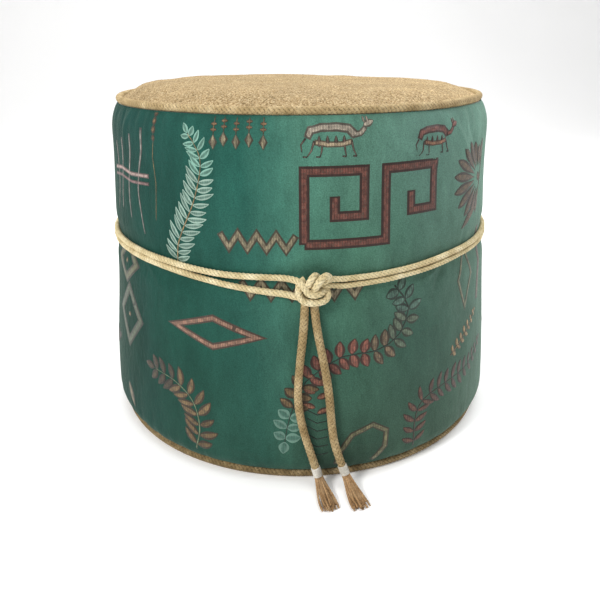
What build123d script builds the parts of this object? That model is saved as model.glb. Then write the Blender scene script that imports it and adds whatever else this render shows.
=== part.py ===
from build123d import *
import os
from math import asin, cos, degrees, pi, radians, sin, tan

# Round upholstered pouf with a doubled rope belt, knotted at the front. Millimetres.
# +Z is up, the origin is on the floor at the middle of the base, the knot faces -Y.
# Angles round the pouf are azimuths: 0 at the knot, positive towards +X.

# ---- driving dimensions: cover ----------------------------------------------
top_seam_height = 369.0      # where the side panel meets the top piping
belly_radius = 236.3         # widest ring of the side, close above the floor
belly_height = 27.0
base_seam_inset = 9.3        # every inset is measured inwards from belly_radius
waist_inset = 15.3           # under the rope belt
shoulder_inset = 17.8        # just below the top seam
top_seam_inset = 25.3
waist_height = 219.0         # middle of the rope belt at the sides and the back
pinch_above = 22.0           # how far above the belt the side is still drawn in
pinch_below = 24.0
pinch_depth_above = 1.7      # how much wider the side is at those two heights
pinch_depth_below = 4.2
shoulder_drop = 29.0         # shoulder ring below the top seam
mid_side_inset = 5.6         # ring between the belly and the belt
mid_side_height = 123.0
side_cloth = 1.5             # velvet with its backing
top_cloth = 3.0              # thick boucle with its backing
crown_rise = 17.0            # top of the crown above the top seam
crown_shelf_drop = 1.5       # crown line at the shelf ring, below the middle
crown_shelf_inset = 44.0     # shelf ring, inwards from the top piping
piping_diameter = 8.0
base_cloth = 5.0             # padded canvas, thick enough to hide the zip
layer_gap = 0.2
upper_slope = (0.04, -1)     # way the side runs down into the pinch above the belt
lower_slope = (0.035, -1)    # and away from it below
shelf_slope = (1, -0.05)     # way the crown runs out over its shelf ring

# ---- driving dimensions: filling --------------------------------------------
liner_cloth = 0.8
core_cover = 10.0            # wadding between the core's edge and the liner at the seams
base_pad_thickness = 22.0
top_pad_bottom_drop = 24.0   # underside of the top pad, below the top seam

# ---- driving dimensions: zip ------------------------------------------------
zip_half_length = 165.0      # half the length of the rows of teeth
zip_mouth_half = 7.5         # half the width of the slot between the base panels
zip_mouth_margin = 25.0      # slot beyond the teeth at each end
tape_width = 14.5
tape_cloth = 0.6
tape_margin = 22.0           # tape beyond the teeth at each end
row_gap = 0.9                # between the two rows, where the slider's web runs
tooth_reach = 2.55
tooth_height = 2.2
tooth_length = 2.4
tooth_pitch = 3.6
bead_reach = 0.8             # edge bead that carries the teeth
bead_height = 0.9
slider_length = 14.0
slider_plate = 0.9
slider_play = 0.3            # between the teeth and the slider's plates
flange_thickness = 1.1
flange_lip = 0.7             # how far each flange reaches towards the tape
web_thickness = 0.6
web_length = 5.0
stop_length = 5.0
stop_gap = 2.0               # from the last tooth to a stop
lug_width = 0.9
lug_length = 3.4
pin_radius = 0.6
pin_play = 0.05
eye_radius = 1.15
pull_length = 24.0
pull_width = 5.0
pull_thickness = 1.0
pull_side_play = 0.25
pull_floor_gap = 0.55

# ---- driving dimensions: rope -----------------------------------------------
rope_diameter = 8.0
belt_rope_diameter = 6.8     # the same rope, pulled thinner round the waist
strand_gap = 0.2             # between the two strands where they lie together
knot_width = 32.0
knot_depth = 16.6
knot_height = 31.0
knot_drop = 6.5              # middle of the knot below the belt at the sides
knot_wall_gap = 0.3
knot_round = 5.0
strand_bite = 0.3            # how far a strand enters the knot
whipping_length = 10.0
whipping_wall = 1.0
whipping_play = 0.05
tassel_half_width = 9.0
tassel_half_height = 4.0

# ---- worked out from them ---------------------------------------------------
piping_radius = piping_diameter / 2
rope_radius = rope_diameter / 2
belt_rope_radius = belt_rope_diameter / 2
base_seam_radius = belly_radius - base_seam_inset
top_seam_radius = belly_radius - top_seam_inset
waist_radius = belly_radius - waist_inset
shoulder_radius = belly_radius - shoulder_inset
base_seam_height = piping_diameter
base_piping_ring = base_seam_radius - side_cloth
top_piping_ring = top_seam_radius - 2.0
top_piping_height = top_seam_height + piping_radius
crown_height = top_seam_height + crown_rise
crown_edge = top_piping_ring - piping_radius - layer_gap / 2
crown_shelf = crown_edge - crown_shelf_inset
base_panel_radius = base_piping_ring - piping_radius - layer_gap / 2
cover_inset = side_cloth + layer_gap
filling_inset = cover_inset + liner_cloth + layer_gap
tape_bottom = base_cloth
tape_top = tape_bottom + tape_cloth
liner_floor = tape_top + layer_gap / 2
filling_floor = liner_floor + liner_cloth + layer_gap / 2
core_base_radius = base_seam_radius - filling_inset - core_cover
core_top_radius = top_seam_radius - filling_inset - core_cover
top_pad_bottom = top_seam_height - top_pad_bottom_drop

os.makedirs("parts", exist_ok=True)


def around(azimuth, radius, height):
    """Point at an azimuth in degrees, 0 at the knot and positive towards +X."""
    angle = radians(azimuth)
    return Vector(radius * sin(angle), -radius * cos(angle), height)


def side_line(inset, low, high):
    """Outline of the side from its top edge down to its bottom edge, moved inwards by inset."""
    pinch_top = (waist_radius + pinch_depth_above - inset, waist_height + pinch_above)
    pinch_bottom = (waist_radius + pinch_depth_below - inset, waist_height - pinch_below)
    shoulder = (shoulder_radius - inset, top_seam_height - shoulder_drop)
    belly = (belly_radius - inset, belly_height)
    mid_side = (belly_radius - mid_side_inset - inset, mid_side_height)
    upper_turn = TangentArc(shoulder, (top_seam_radius - inset, high), tangent=(0, 1))
    Spline(shoulder, pinch_top, tangents=[(0, -1), upper_slope])
    ThreePointArc(pinch_top, (waist_radius - inset, waist_height), pinch_bottom)
    Spline(pinch_bottom, mid_side, belly, tangents=[lower_slope, (0, -1)])
    lower_turn = TangentArc(belly, (base_seam_radius - inset, low), tangent=(0, -1))
    return upper_turn @ 1, lower_turn @ 1


def crown_line(drop, reach):
    """Crown from the middle out to a rim at radius reach, lowered by drop."""
    shelf = (crown_shelf, crown_height - crown_shelf_drop - drop)
    crown = Spline((0, crown_height - drop), shelf, tangents=[(1, 0), shelf_slope])
    edge = TangentArc(shelf, (reach, top_piping_height - drop), tangent=shelf_slope)
    return crown @ 0, edge @ 1


def zip_plane(height):
    """Horizontal plane for the zip's sketches."""
    return Plane.XY.offset(height)


# ---- side panel: the tall velvet wall ---------------------------------------
with BuildPart() as side_panel:
    with BuildSketch(Plane.XZ):
        with BuildLine():
            outer_top, outer_bottom = side_line(0, base_seam_height, top_seam_height)
            inner_top, inner_bottom = side_line(side_cloth, base_seam_height, top_seam_height)
            Line(outer_top, inner_top)
            Line(outer_bottom, inner_bottom)
        make_face()
    revolve(axis=Axis.Z)
side_panel.part.label = "side_panel"
export_step(side_panel.part, "parts/side_panel.step")

# ---- top panel: crowned boucle disc -----------------------------------------
with BuildPart() as top_panel:
    with BuildSketch(Plane.XZ):
        with BuildLine():
            crown_middle, crown_rim = crown_line(0, crown_edge)
            under_middle, under_rim = crown_line(top_cloth, crown_edge - top_cloth)
            Line(crown_middle, under_middle)
            Polyline(crown_rim, (crown_edge, top_piping_height - top_cloth), under_rim)
        make_face()
    revolve(axis=Axis.Z)
top_panel.part.label = "top_panel"
export_step(top_panel.part, "parts/top_panel.step")

# ---- piping: one ring in each seam ------------------------------------------
with BuildPart() as top_piping:
    with BuildSketch(Plane.XZ):
        with Locations((top_piping_ring, top_piping_height)):
            Circle(piping_radius)
    revolve(axis=Axis.Z)
top_piping.part.label = "top_piping"
export_step(top_piping.part, "parts/top_piping.step")

with BuildPart() as base_piping:
    with BuildSketch(Plane.XZ):
        with Locations((base_piping_ring, piping_radius)):
            Circle(piping_radius)
    revolve(axis=Axis.Z)
base_piping.part.label = "base_piping"
export_step(base_piping.part, "parts/base_piping.step")

# ---- base panels: two half discs with the zip between them ------------------
mouth_length = 2 * (zip_half_length + zip_mouth_margin)
for end_name, way in (("front", -1), ("rear", 1)):
    with BuildPart() as base_panel:
        with BuildSketch():
            Circle(base_panel_radius)
            Rectangle(2 * base_panel_radius, base_panel_radius, mode=Mode.INTERSECT,
                      align=(Align.CENTER, Align.MIN if way > 0 else Align.MAX))
            Rectangle(mouth_length, 2 * zip_mouth_half, mode=Mode.SUBTRACT)
        extrude(amount=base_cloth)
    base_panel.part.label = f"base_panel_{end_name}"
    export_step(base_panel.part, f"parts/base_panel_{end_name}.step")

# ---- zip tapes and rows of teeth --------------------------------------------
tape_length = 2 * (zip_half_length + tape_margin)
row_inner = row_gap / 2
row_outer = row_inner + tooth_reach
tooth_middle = tape_bottom + tape_cloth / 2
teeth_low = tooth_middle - tooth_height / 2
teeth_high = tooth_middle + tooth_height / 2
tooth_count = int(2 * zip_half_length / tooth_pitch) + 1
row_length = (tooth_count - 1) * tooth_pitch + tooth_length
for end_name, way in (("front", -1), ("rear", 1)):
    with BuildPart() as zip_tape:
        with BuildSketch(zip_plane(tape_bottom)):
            with Locations((0, way * (row_outer + tape_width / 2))):
                Rectangle(tape_length, tape_width)
        extrude(amount=tape_cloth)
    zip_tape.part.label = f"zip_tape_{end_name}"
    export_step(zip_tape.part, f"parts/zip_tape_{end_name}.step")

    with BuildPart() as zip_teeth:
        with BuildSketch(zip_plane(tooth_middle - bead_height / 2)):
            with Locations((0, way * (row_outer - bead_reach / 2))):
                Rectangle(row_length, bead_reach)
        extrude(amount=bead_height)
        with BuildSketch(zip_plane(teeth_low)):
            with Locations((0, way * (row_inner + tooth_reach / 2))):
                with GridLocations(tooth_pitch, 0, tooth_count, 1):
                    Rectangle(tooth_length, tooth_reach)
        extrude(amount=tooth_height)
    zip_teeth.part.label = f"zip_teeth_{end_name}"
    export_step(zip_teeth.part, f"parts/zip_teeth_{end_name}.step")

# ---- zip stops: two clips at the closed end, one block at the open end ------
stop_centre = row_length / 2 + stop_gap + stop_length / 2
with BuildPart() as zip_top_stops:
    with BuildSketch(zip_plane(teeth_low)):
        with Locations((-stop_centre, 0)):
            with GridLocations(0, 2 * row_inner + tooth_reach, 1, 2):
                Rectangle(stop_length, tooth_reach)
    extrude(amount=tooth_height)
zip_top_stops.part.label = "zip_top_stops"
export_step(zip_top_stops.part, "parts/zip_top_stops.step")

with BuildPart() as zip_bottom_stop:
    with BuildSketch(zip_plane(teeth_low)):
        with Locations((stop_centre, 0)):
            RectangleRounded(stop_length, 2 * row_outer, stop_length / 5)
    extrude(amount=tooth_height)
zip_bottom_stop.part.label = "zip_bottom_stop"
export_step(zip_bottom_stop.part, "parts/zip_bottom_stop.step")

# ---- zip slider, closed at the -X end, opening towards +X -------------------
slider_centre = -(row_length - slider_length) / 2
slider_half_width = row_outer + slider_play + flange_thickness
plate_low = teeth_low - slider_play - slider_plate
plate_high = teeth_high + slider_play
pin_height = pull_floor_gap + eye_radius
with BuildPart() as zip_slider:
    with BuildSketch(zip_plane(plate_low)) as plate_shape:
        with Locations((slider_centre, 0)):
            RectangleRounded(slider_length, 2 * slider_half_width, slider_half_width / 2)
    extrude(amount=slider_plate)
    with BuildSketch(zip_plane(plate_high)):
        add(plate_shape.sketch_local)
    extrude(amount=slider_plate)
    with BuildSketch(zip_plane(plate_low + slider_plate)):
        with Locations((slider_centre - (slider_length - web_length) / 2, 0)):
            Rectangle(web_length, web_thickness)
    extrude(amount=plate_high - plate_low - slider_plate)
    flange_offset = slider_half_width - flange_thickness / 2
    with BuildSketch(zip_plane(plate_low + slider_plate)) as flange_shape:
        with Locations((slider_centre, 0)):
            with GridLocations(0, 2 * flange_offset, 1, 2):
                Rectangle(slider_length - slider_half_width, flange_thickness)
    extrude(amount=flange_lip)
    with BuildSketch(zip_plane(plate_high - flange_lip)):
        add(flange_shape.sketch_local)
    extrude(amount=flange_lip)
    lug_offset = pull_width / 2 + pull_side_play + lug_width / 2
    with BuildSketch(zip_plane(pull_floor_gap)):
        with Locations((slider_centre, 0)):
            with GridLocations(0, 2 * lug_offset, 1, 2):
                Rectangle(lug_length, lug_width)
    extrude(amount=plate_low - pull_floor_gap)
    with BuildSketch(Plane.XZ.offset(-lug_offset)):
        with Locations((slider_centre, pin_height)):
            Circle(pin_radius)
    extrude(amount=2 * lug_offset)
zip_slider.part.label = "zip_slider"
export_step(zip_slider.part, "parts/zip_slider.step")

# ---- zip pull: tab with an eye round the slider's pin -----------------------
with BuildPart() as zip_pull:
    with BuildSketch(Plane.XZ.offset(-pull_width / 2)):
        with Locations((slider_centre + pull_length / 2, pin_height)):
            Rectangle(pull_length, pull_thickness)
        with Locations((slider_centre, pin_height)):
            Circle(eye_radius)
            Circle(pin_radius + pin_play, mode=Mode.SUBTRACT)
    extrude(amount=pull_width)
    tab_corners = zip_pull.edges().filter_by(Axis.Z).group_by(Axis.X)[-1]
    fillet(tab_corners, radius=pull_width / 3)
zip_pull.part.label = "zip_pull"
export_step(zip_pull.part, "parts/zip_pull.step")

# ---- inner liner bag: top, side and base ------------------------------------
liner_turn = 4.0             # width of the turned-up edge of the base liner
liner_inner_inset = cover_inset + liner_cloth
with BuildPart() as liner_side:
    with BuildSketch(Plane.XZ):
        with BuildLine():
            outer_top, outer_bottom = side_line(
                cover_inset, base_seam_height + layer_gap, top_seam_height)
            inner_top, inner_bottom = side_line(
                liner_inner_inset, base_seam_height + layer_gap, top_seam_height)
            Line(outer_top, inner_top)
            Line(outer_bottom, inner_bottom)
        make_face()
    revolve(axis=Axis.Z)
liner_side.part.label = "liner_side"
export_step(liner_side.part, "parts/liner_side.step")

liner_top_edge = top_seam_radius - liner_inner_inset - layer_gap / 2
with BuildPart() as liner_top:
    with BuildSketch(Plane.XZ):
        with BuildLine():
            rim_reach = crown_edge - top_cloth - layer_gap
            outer_middle, outer_rim = crown_line(top_cloth + layer_gap, rim_reach)
            inner_middle, inner_rim = crown_line(
                top_cloth + layer_gap + liner_cloth, rim_reach - liner_cloth)
            Line(outer_middle, inner_middle)
            Polyline(outer_rim, (liner_top_edge, top_seam_height),
                     (liner_top_edge, top_seam_height - liner_cloth), inner_rim)
        make_face()
    revolve(axis=Axis.Z)
liner_top.part.label = "liner_top"
export_step(liner_top.part, "parts/liner_top.step")

# The base liner lifts over the zip in a channel wide enough for the slider.
channel_half = slider_half_width + 2.0
channel_top = plate_high + slider_plate + layer_gap
channel_length = mouth_length
liner_flat_radius = base_panel_radius - liner_turn
with BuildPart() as liner_base:
    with BuildSketch(zip_plane(liner_floor)):
        Circle(liner_flat_radius)
    extrude(amount=liner_cloth)
    with BuildSketch(Plane.XZ):
        turn_height = base_seam_height + layer_gap
        turn_reach = base_seam_radius - liner_inner_inset - layer_gap / 2
        with BuildLine():
            Polyline(
                (liner_flat_radius - liner_cloth, liner_floor),
                (liner_flat_radius, liner_floor),
                (turn_reach, turn_height),
                (turn_reach, turn_height + liner_cloth),
                (liner_flat_radius - liner_cloth, liner_floor + liner_cloth),
                close=True,
            )
        make_face()
    revolve(axis=Axis.Z)
    with BuildSketch(zip_plane(liner_floor)):
        Rectangle(channel_length, 2 * channel_half)
    extrude(amount=channel_top + liner_cloth - liner_floor)
    with BuildSketch(zip_plane(liner_floor)):
        Rectangle(channel_length - 2 * liner_cloth, 2 * (channel_half - liner_cloth))
    extrude(amount=channel_top - liner_floor, mode=Mode.SUBTRACT)
liner_base.part.label = "liner_base"
export_step(liner_base.part, "parts/liner_base.step")

# ---- filling: wadding wrap round three foam blocks --------------------------
with BuildPart() as wadding_wrap:
    with BuildSketch(Plane.XZ):
        with BuildLine():
            wrap_low = base_seam_height + liner_cloth + 2 * layer_gap
            wrap_high = top_seam_height - liner_cloth - layer_gap
            outer_top, outer_bottom = side_line(filling_inset, wrap_low, wrap_high)
            Polyline(
                outer_top,
                (core_top_radius + layer_gap, wrap_high),
                (core_top_radius + layer_gap, top_pad_bottom),
                (core_base_radius + layer_gap, filling_floor + base_pad_thickness),
                (core_base_radius + layer_gap, wrap_low),
                outer_bottom,
            )
        make_face()
    revolve(axis=Axis.Z)
wadding_wrap.part.label = "wadding_wrap"
export_step(wadding_wrap.part, "parts/wadding_wrap.step")

with BuildPart() as base_foam_pad:
    with BuildSketch(zip_plane(filling_floor)):
        Circle(core_base_radius)
    extrude(amount=base_pad_thickness)
    with BuildSketch(zip_plane(filling_floor)):
        Rectangle(channel_length + 2 * layer_gap, 2 * (channel_half + layer_gap))
    extrude(amount=channel_top + liner_cloth + layer_gap - filling_floor, mode=Mode.SUBTRACT)
base_foam_pad.part.label = "base_foam_pad"
export_step(base_foam_pad.part, "parts/base_foam_pad.step")

with BuildPart() as foam_core:
    with BuildSketch(Plane.XZ):
        with BuildLine():
            core_low = filling_floor + base_pad_thickness
            Polyline(
                (0, core_low),
                (core_base_radius, core_low),
                (core_top_radius, top_pad_bottom),
                (0, top_pad_bottom),
                close=True,
            )
        make_face()
    revolve(axis=Axis.Z)
foam_core.part.label = "foam_core"
export_step(foam_core.part, "parts/foam_core.step")

with BuildPart() as top_foam_pad:
    with BuildSketch(Plane.XZ):
        with BuildLine():
            pad_drop = top_cloth + liner_cloth + 2 * layer_gap
            pad_middle, pad_rim = crown_line(pad_drop, core_top_radius)
            Polyline(pad_middle, (0, top_pad_bottom), (core_top_radius, top_pad_bottom), pad_rim)
        make_face()
    revolve(axis=Axis.Z)
top_foam_pad.part.label = "top_foam_pad"
export_step(top_foam_pad.part, "parts/top_foam_pad.step")

# ---- rope belt: two strands round the waist, both ending in the knot --------
# Each strand is level round the sides and the back and dips towards the knot at both ends.
# A point is azimuth, how far the rope's middle stands off the level stretch, and how far
# it lies above the waist.
level_from = 42.0
half_pitch = (belt_rope_diameter + strand_gap) / 2
touching_radius = waist_radius + belt_rope_radius + layer_gap
knot_grip = degrees(asin((knot_width / 2 - strand_bite) / touching_radius))
strands = {
    "upper": {
        "level": half_pitch,
        "clear": 0.2,
        "right": [(22.0, 0.2, 1.0), (knot_grip, 1.0, -2.0)],
        "left": [(-22.0, 0.4, 1.2), (-knot_grip, 1.0, -0.6)],
    },
    "lower": {
        "level": -half_pitch,
        "clear": 1.2,
        "right": [(22.0, 0.6, -7.4), (knot_grip, 1.6, -2.0 - 2 * half_pitch)],
        "left": [(-22.0, 1.0, -9.0), (-knot_grip, 3.4, -16.0)],
    },
}
for strand, points in strands.items():
    level = waist_height + points["level"]
    strand_radius = touching_radius + points["clear"]
    with BuildPart() as belt_rope:
        with BuildLine() as belt_path:
            round_back = ThreePointArc(
                around(level_from, strand_radius, level),
                around(180, strand_radius, level),
                around(-level_from, strand_radius, level),
            )
            for side, start, heading in (
                ("left", round_back @ 1, round_back % 1),
                ("right", round_back @ 0, (round_back % 0) * -1),
            ):
                for azimuth, out, lift in points[side]:
                    target = around(azimuth, strand_radius + out, waist_height + lift)
                    dip = TangentArc(start, target, tangent=heading)
                    start, heading = dip @ 1, dip % 1
        belt_wire = belt_path.wire()
        with BuildSketch(Plane(origin=belt_wire @ 0, z_dir=belt_wire % 0)):
            Circle(belt_rope_radius)
        sweep(path=belt_wire)
    print(f"belt_rope_{strand}: length {belt_wire.length:.1f}")
    belt_rope.part.label = f"belt_rope_{strand}"
    export_step(belt_rope.part, f"parts/belt_rope_{strand}.step")

# ---- knot: a rounded block of the tied rope's outer shape -------------------
knot_height_middle = waist_height - knot_drop
knot_back = -(waist_radius + pinch_depth_below + knot_wall_gap)
with BuildPart() as belt_knot:
    with BuildSketch(Plane.XZ.offset(-knot_back)):
        with Locations((0, knot_height_middle)):
            RectangleRounded(knot_width, knot_height, knot_round)
    extrude(amount=knot_depth)
    fillet(belt_knot.faces().sort_by(Axis.Y)[0].edges(), radius=knot_round)
belt_knot.part.label = "belt_knot"
export_step(belt_knot.part, "parts/belt_knot.step")

# ---- tails: the two rope ends that hang from the knot to the floor ----------
# Points of each tail from the knot down, chosen by hand, x, y and z.
tail_routes = {
    "left": [
        (-8.0, -229.7, 197.0),
        (-9.0, -231.8, 172.0),
        (-13.5, -234.6, 136.0),
        (-16.5, -236.9, 100.0),
        (-12.5, -239.7, 70.0),
        (-4.2, -241.9, 40.5),
        (3.9, -244.8, 13.5),
    ],
    "right": [
        (0.6, -229.7, 197.0),
        (2.4, -231.8, 173.0),
        (9.0, -234.3, 140.0),
        (14.8, -236.7, 105.0),
        (17.0, -239.4, 74.0),
        (20.5, -242.0, 43.5),
        (31.4, -245.8, 15.5),
    ],
}
tassel_ends = {"left": (13.0, -281.0, 5.0), "right": (43.5, -281.0, 5.0)}


def corner_radii(points):
    """Arc radius at each corner of a route: 0.45 of the shorter run over tan(half the turn)."""
    radii = []
    for before, corner, after in zip(points, points[1:], points[2:]):
        run_in = Vector(*corner) - Vector(*before)
        run_out = Vector(*after) - Vector(*corner)
        turn = radians(run_in.get_angle(run_out))
        radii.append(0.45 * min(run_in.length, run_out.length) / tan(turn / 2))
    return radii


for side, points in tail_routes.items():
    radii = corner_radii(points)
    with BuildPart() as tail:
        with BuildLine() as tail_path:
            FilletPolyline(*points, radius=radii)
        with BuildSketch(Plane(origin=tail_path.wire() @ 0, z_dir=tail_path.wire() % 0)):
            Circle(rope_radius)
        sweep(path=tail_path.wire())
    section = Plane(origin=tail_path.wire() @ 1, z_dir=tail_path.wire() % 1)
    tube_length = tail_path.wire().length
    expected = tube_length * pi * rope_radius ** 2
    print(f"tail_{side}: length {tube_length:.1f}, volume ratio {tail.part.volume / expected:.4f}, "
          f"radii {[round(radius) for radius in radii]}")
    tail.part.label = f"tail_{side}"
    export_step(tail.part, f"parts/tail_{side}.step")

    with BuildPart() as whipping:
        with BuildSketch(section):
            Circle(rope_radius + whipping_wall)
            Circle(rope_radius + whipping_play, mode=Mode.SUBTRACT)
        extrude(amount=-whipping_length)
    whipping.part.label = f"whipping_{side}"
    export_step(whipping.part, f"parts/whipping_{side}.step")

    tassel_end = Vector(*tassel_ends[side])
    with BuildPart() as tassel:
        with BuildSketch(section):
            Circle(rope_radius)
        with BuildSketch(Plane(origin=tassel_end, x_dir=(1, 0, 0), z_dir=(0, -1, 0))):
            Ellipse(tassel_half_width, tassel_half_height)
        loft()
    tassel.part.label = f"tassel_{side}"
    export_step(tassel.part, f"parts/tassel_{side}.step")
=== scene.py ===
import math

import bpy
import numpy as np
from mathutils import Matrix, Vector


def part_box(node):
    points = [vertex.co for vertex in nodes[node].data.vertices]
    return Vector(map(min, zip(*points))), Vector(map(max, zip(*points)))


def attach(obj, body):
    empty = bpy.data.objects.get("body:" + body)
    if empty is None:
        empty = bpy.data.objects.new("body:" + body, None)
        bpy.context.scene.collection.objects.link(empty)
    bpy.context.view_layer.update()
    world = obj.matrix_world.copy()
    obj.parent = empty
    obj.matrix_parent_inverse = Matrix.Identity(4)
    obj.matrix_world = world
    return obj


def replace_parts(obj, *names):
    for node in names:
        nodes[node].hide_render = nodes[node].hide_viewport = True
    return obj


# Round upholstered pouf: velvet side with woven motifs, boucle top, corded seams, a doubled
# rope belt knotted at the front, and two rope tails that end in tassels on the floor.
# Metres. Azimuths are degrees round the pouf, 0 at the knot and positive towards +X.

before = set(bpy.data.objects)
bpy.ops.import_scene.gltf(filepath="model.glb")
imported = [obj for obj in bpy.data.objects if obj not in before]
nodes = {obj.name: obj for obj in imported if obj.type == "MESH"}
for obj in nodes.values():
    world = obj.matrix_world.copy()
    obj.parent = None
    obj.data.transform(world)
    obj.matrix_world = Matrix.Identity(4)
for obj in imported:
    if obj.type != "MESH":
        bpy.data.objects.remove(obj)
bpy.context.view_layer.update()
MM = 0.001
TAU = 2 * math.pi
rng = np.random.default_rng(41)

# ---- camera -----------------------------------------------------------------
CAMERA_AZIMUTH = math.radians(-3.1)
CAMERA_DISTANCE = 0.785
CAMERA_HEIGHT = 0.430
CAMERA_PITCH = math.radians(18.2)
CAMERA_ROLL = -0.006
CAMERA_LENS = 38.1
CAMERA_SHIFT = -0.08


def place_camera():
    """The scene's camera, looking at the pouf's middle from a little above."""
    data = bpy.data.cameras.new("camera")
    data.lens = CAMERA_LENS
    data.sensor_width = 36
    data.shift_y = CAMERA_SHIFT
    data.clip_start = 0.01
    camera = bpy.data.objects.new("camera", data)
    bpy.context.collection.objects.link(camera)
    place = Vector((
        CAMERA_DISTANCE * math.sin(CAMERA_AZIMUTH),
        -CAMERA_DISTANCE * math.cos(CAMERA_AZIMUTH),
        CAMERA_HEIGHT,
    ))
    turn = (
        Matrix.Rotation(CAMERA_AZIMUTH, 4, "Z")
        @ Matrix.Rotation(math.pi / 2 - CAMERA_PITCH, 4, "X")
        @ Matrix.Rotation(CAMERA_ROLL, 4, "Z")
    )
    camera.matrix_world = Matrix.Translation(place) @ turn
    bpy.context.scene.camera = camera


place_camera()


# ---- mesh helpers -----------------------------------------------------------
def grid_faces(rows, columns, wrap_columns=False, offset=0):
    """Quads of a grid of points numbered row by row."""
    across = np.arange(columns if wrap_columns else columns - 1)
    beside = (across + 1) % columns
    row = np.arange(rows - 1)[:, None] * columns
    quads = np.stack([
        row + across,
        row + beside,
        row + columns + beside,
        row + columns + across,
    ], axis=-1)
    return quads.reshape(-1, 4) + offset


def new_object(name, points, faces, material, values=None):
    """A smooth mesh object on the pouf from points and faces, with named point values."""
    mesh = bpy.data.meshes.new(name)
    faces = [list(face) for face in (faces.tolist() if isinstance(faces, np.ndarray) else faces)]
    mesh.from_pydata(np.asarray(points).tolist(), [], faces)
    mesh.shade_smooth()
    for key, data in (values or {}).items():
        data = np.asarray(data, dtype=np.float32)
        if data.ndim == 1:
            mesh.attributes.new(key, "FLOAT", "POINT").data.foreach_set("value", data)
        else:
            mesh.attributes.new(key, "FLOAT_VECTOR", "POINT").data.foreach_set("vector", data.ravel())
    mesh.validate()
    obj = bpy.data.objects.new(name, mesh)
    bpy.context.collection.objects.link(obj)
    mesh.materials.append(material)
    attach(obj, "pouf")
    return obj


def smooth_rows(values, width):
    """Gaussian blur along the last axis, with the ends repeated; width in samples."""
    reach = int(3 * width) + 1
    kernel = np.exp(-0.5 * (np.arange(-reach, reach + 1) / width) ** 2)
    kernel /= kernel.sum()
    padded = np.concatenate([
        np.repeat(values[..., :1], reach, axis=-1),
        values,
        np.repeat(values[..., -1:], reach, axis=-1),
    ], axis=-1)
    return np.apply_along_axis(lambda row: np.convolve(row, kernel, "valid"), -1, padded)


def ring_noise(count, waves, amount):
    """Smooth random values round a ring: sines of whole numbers of waves."""
    angle = np.linspace(0, TAU, count, endpoint=False)
    total = np.zeros(count)
    for wave in waves:
        total += rng.normal() * np.sin(wave * angle + rng.uniform(0, TAU)) / math.sqrt(len(waves))
    return amount * total


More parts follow.
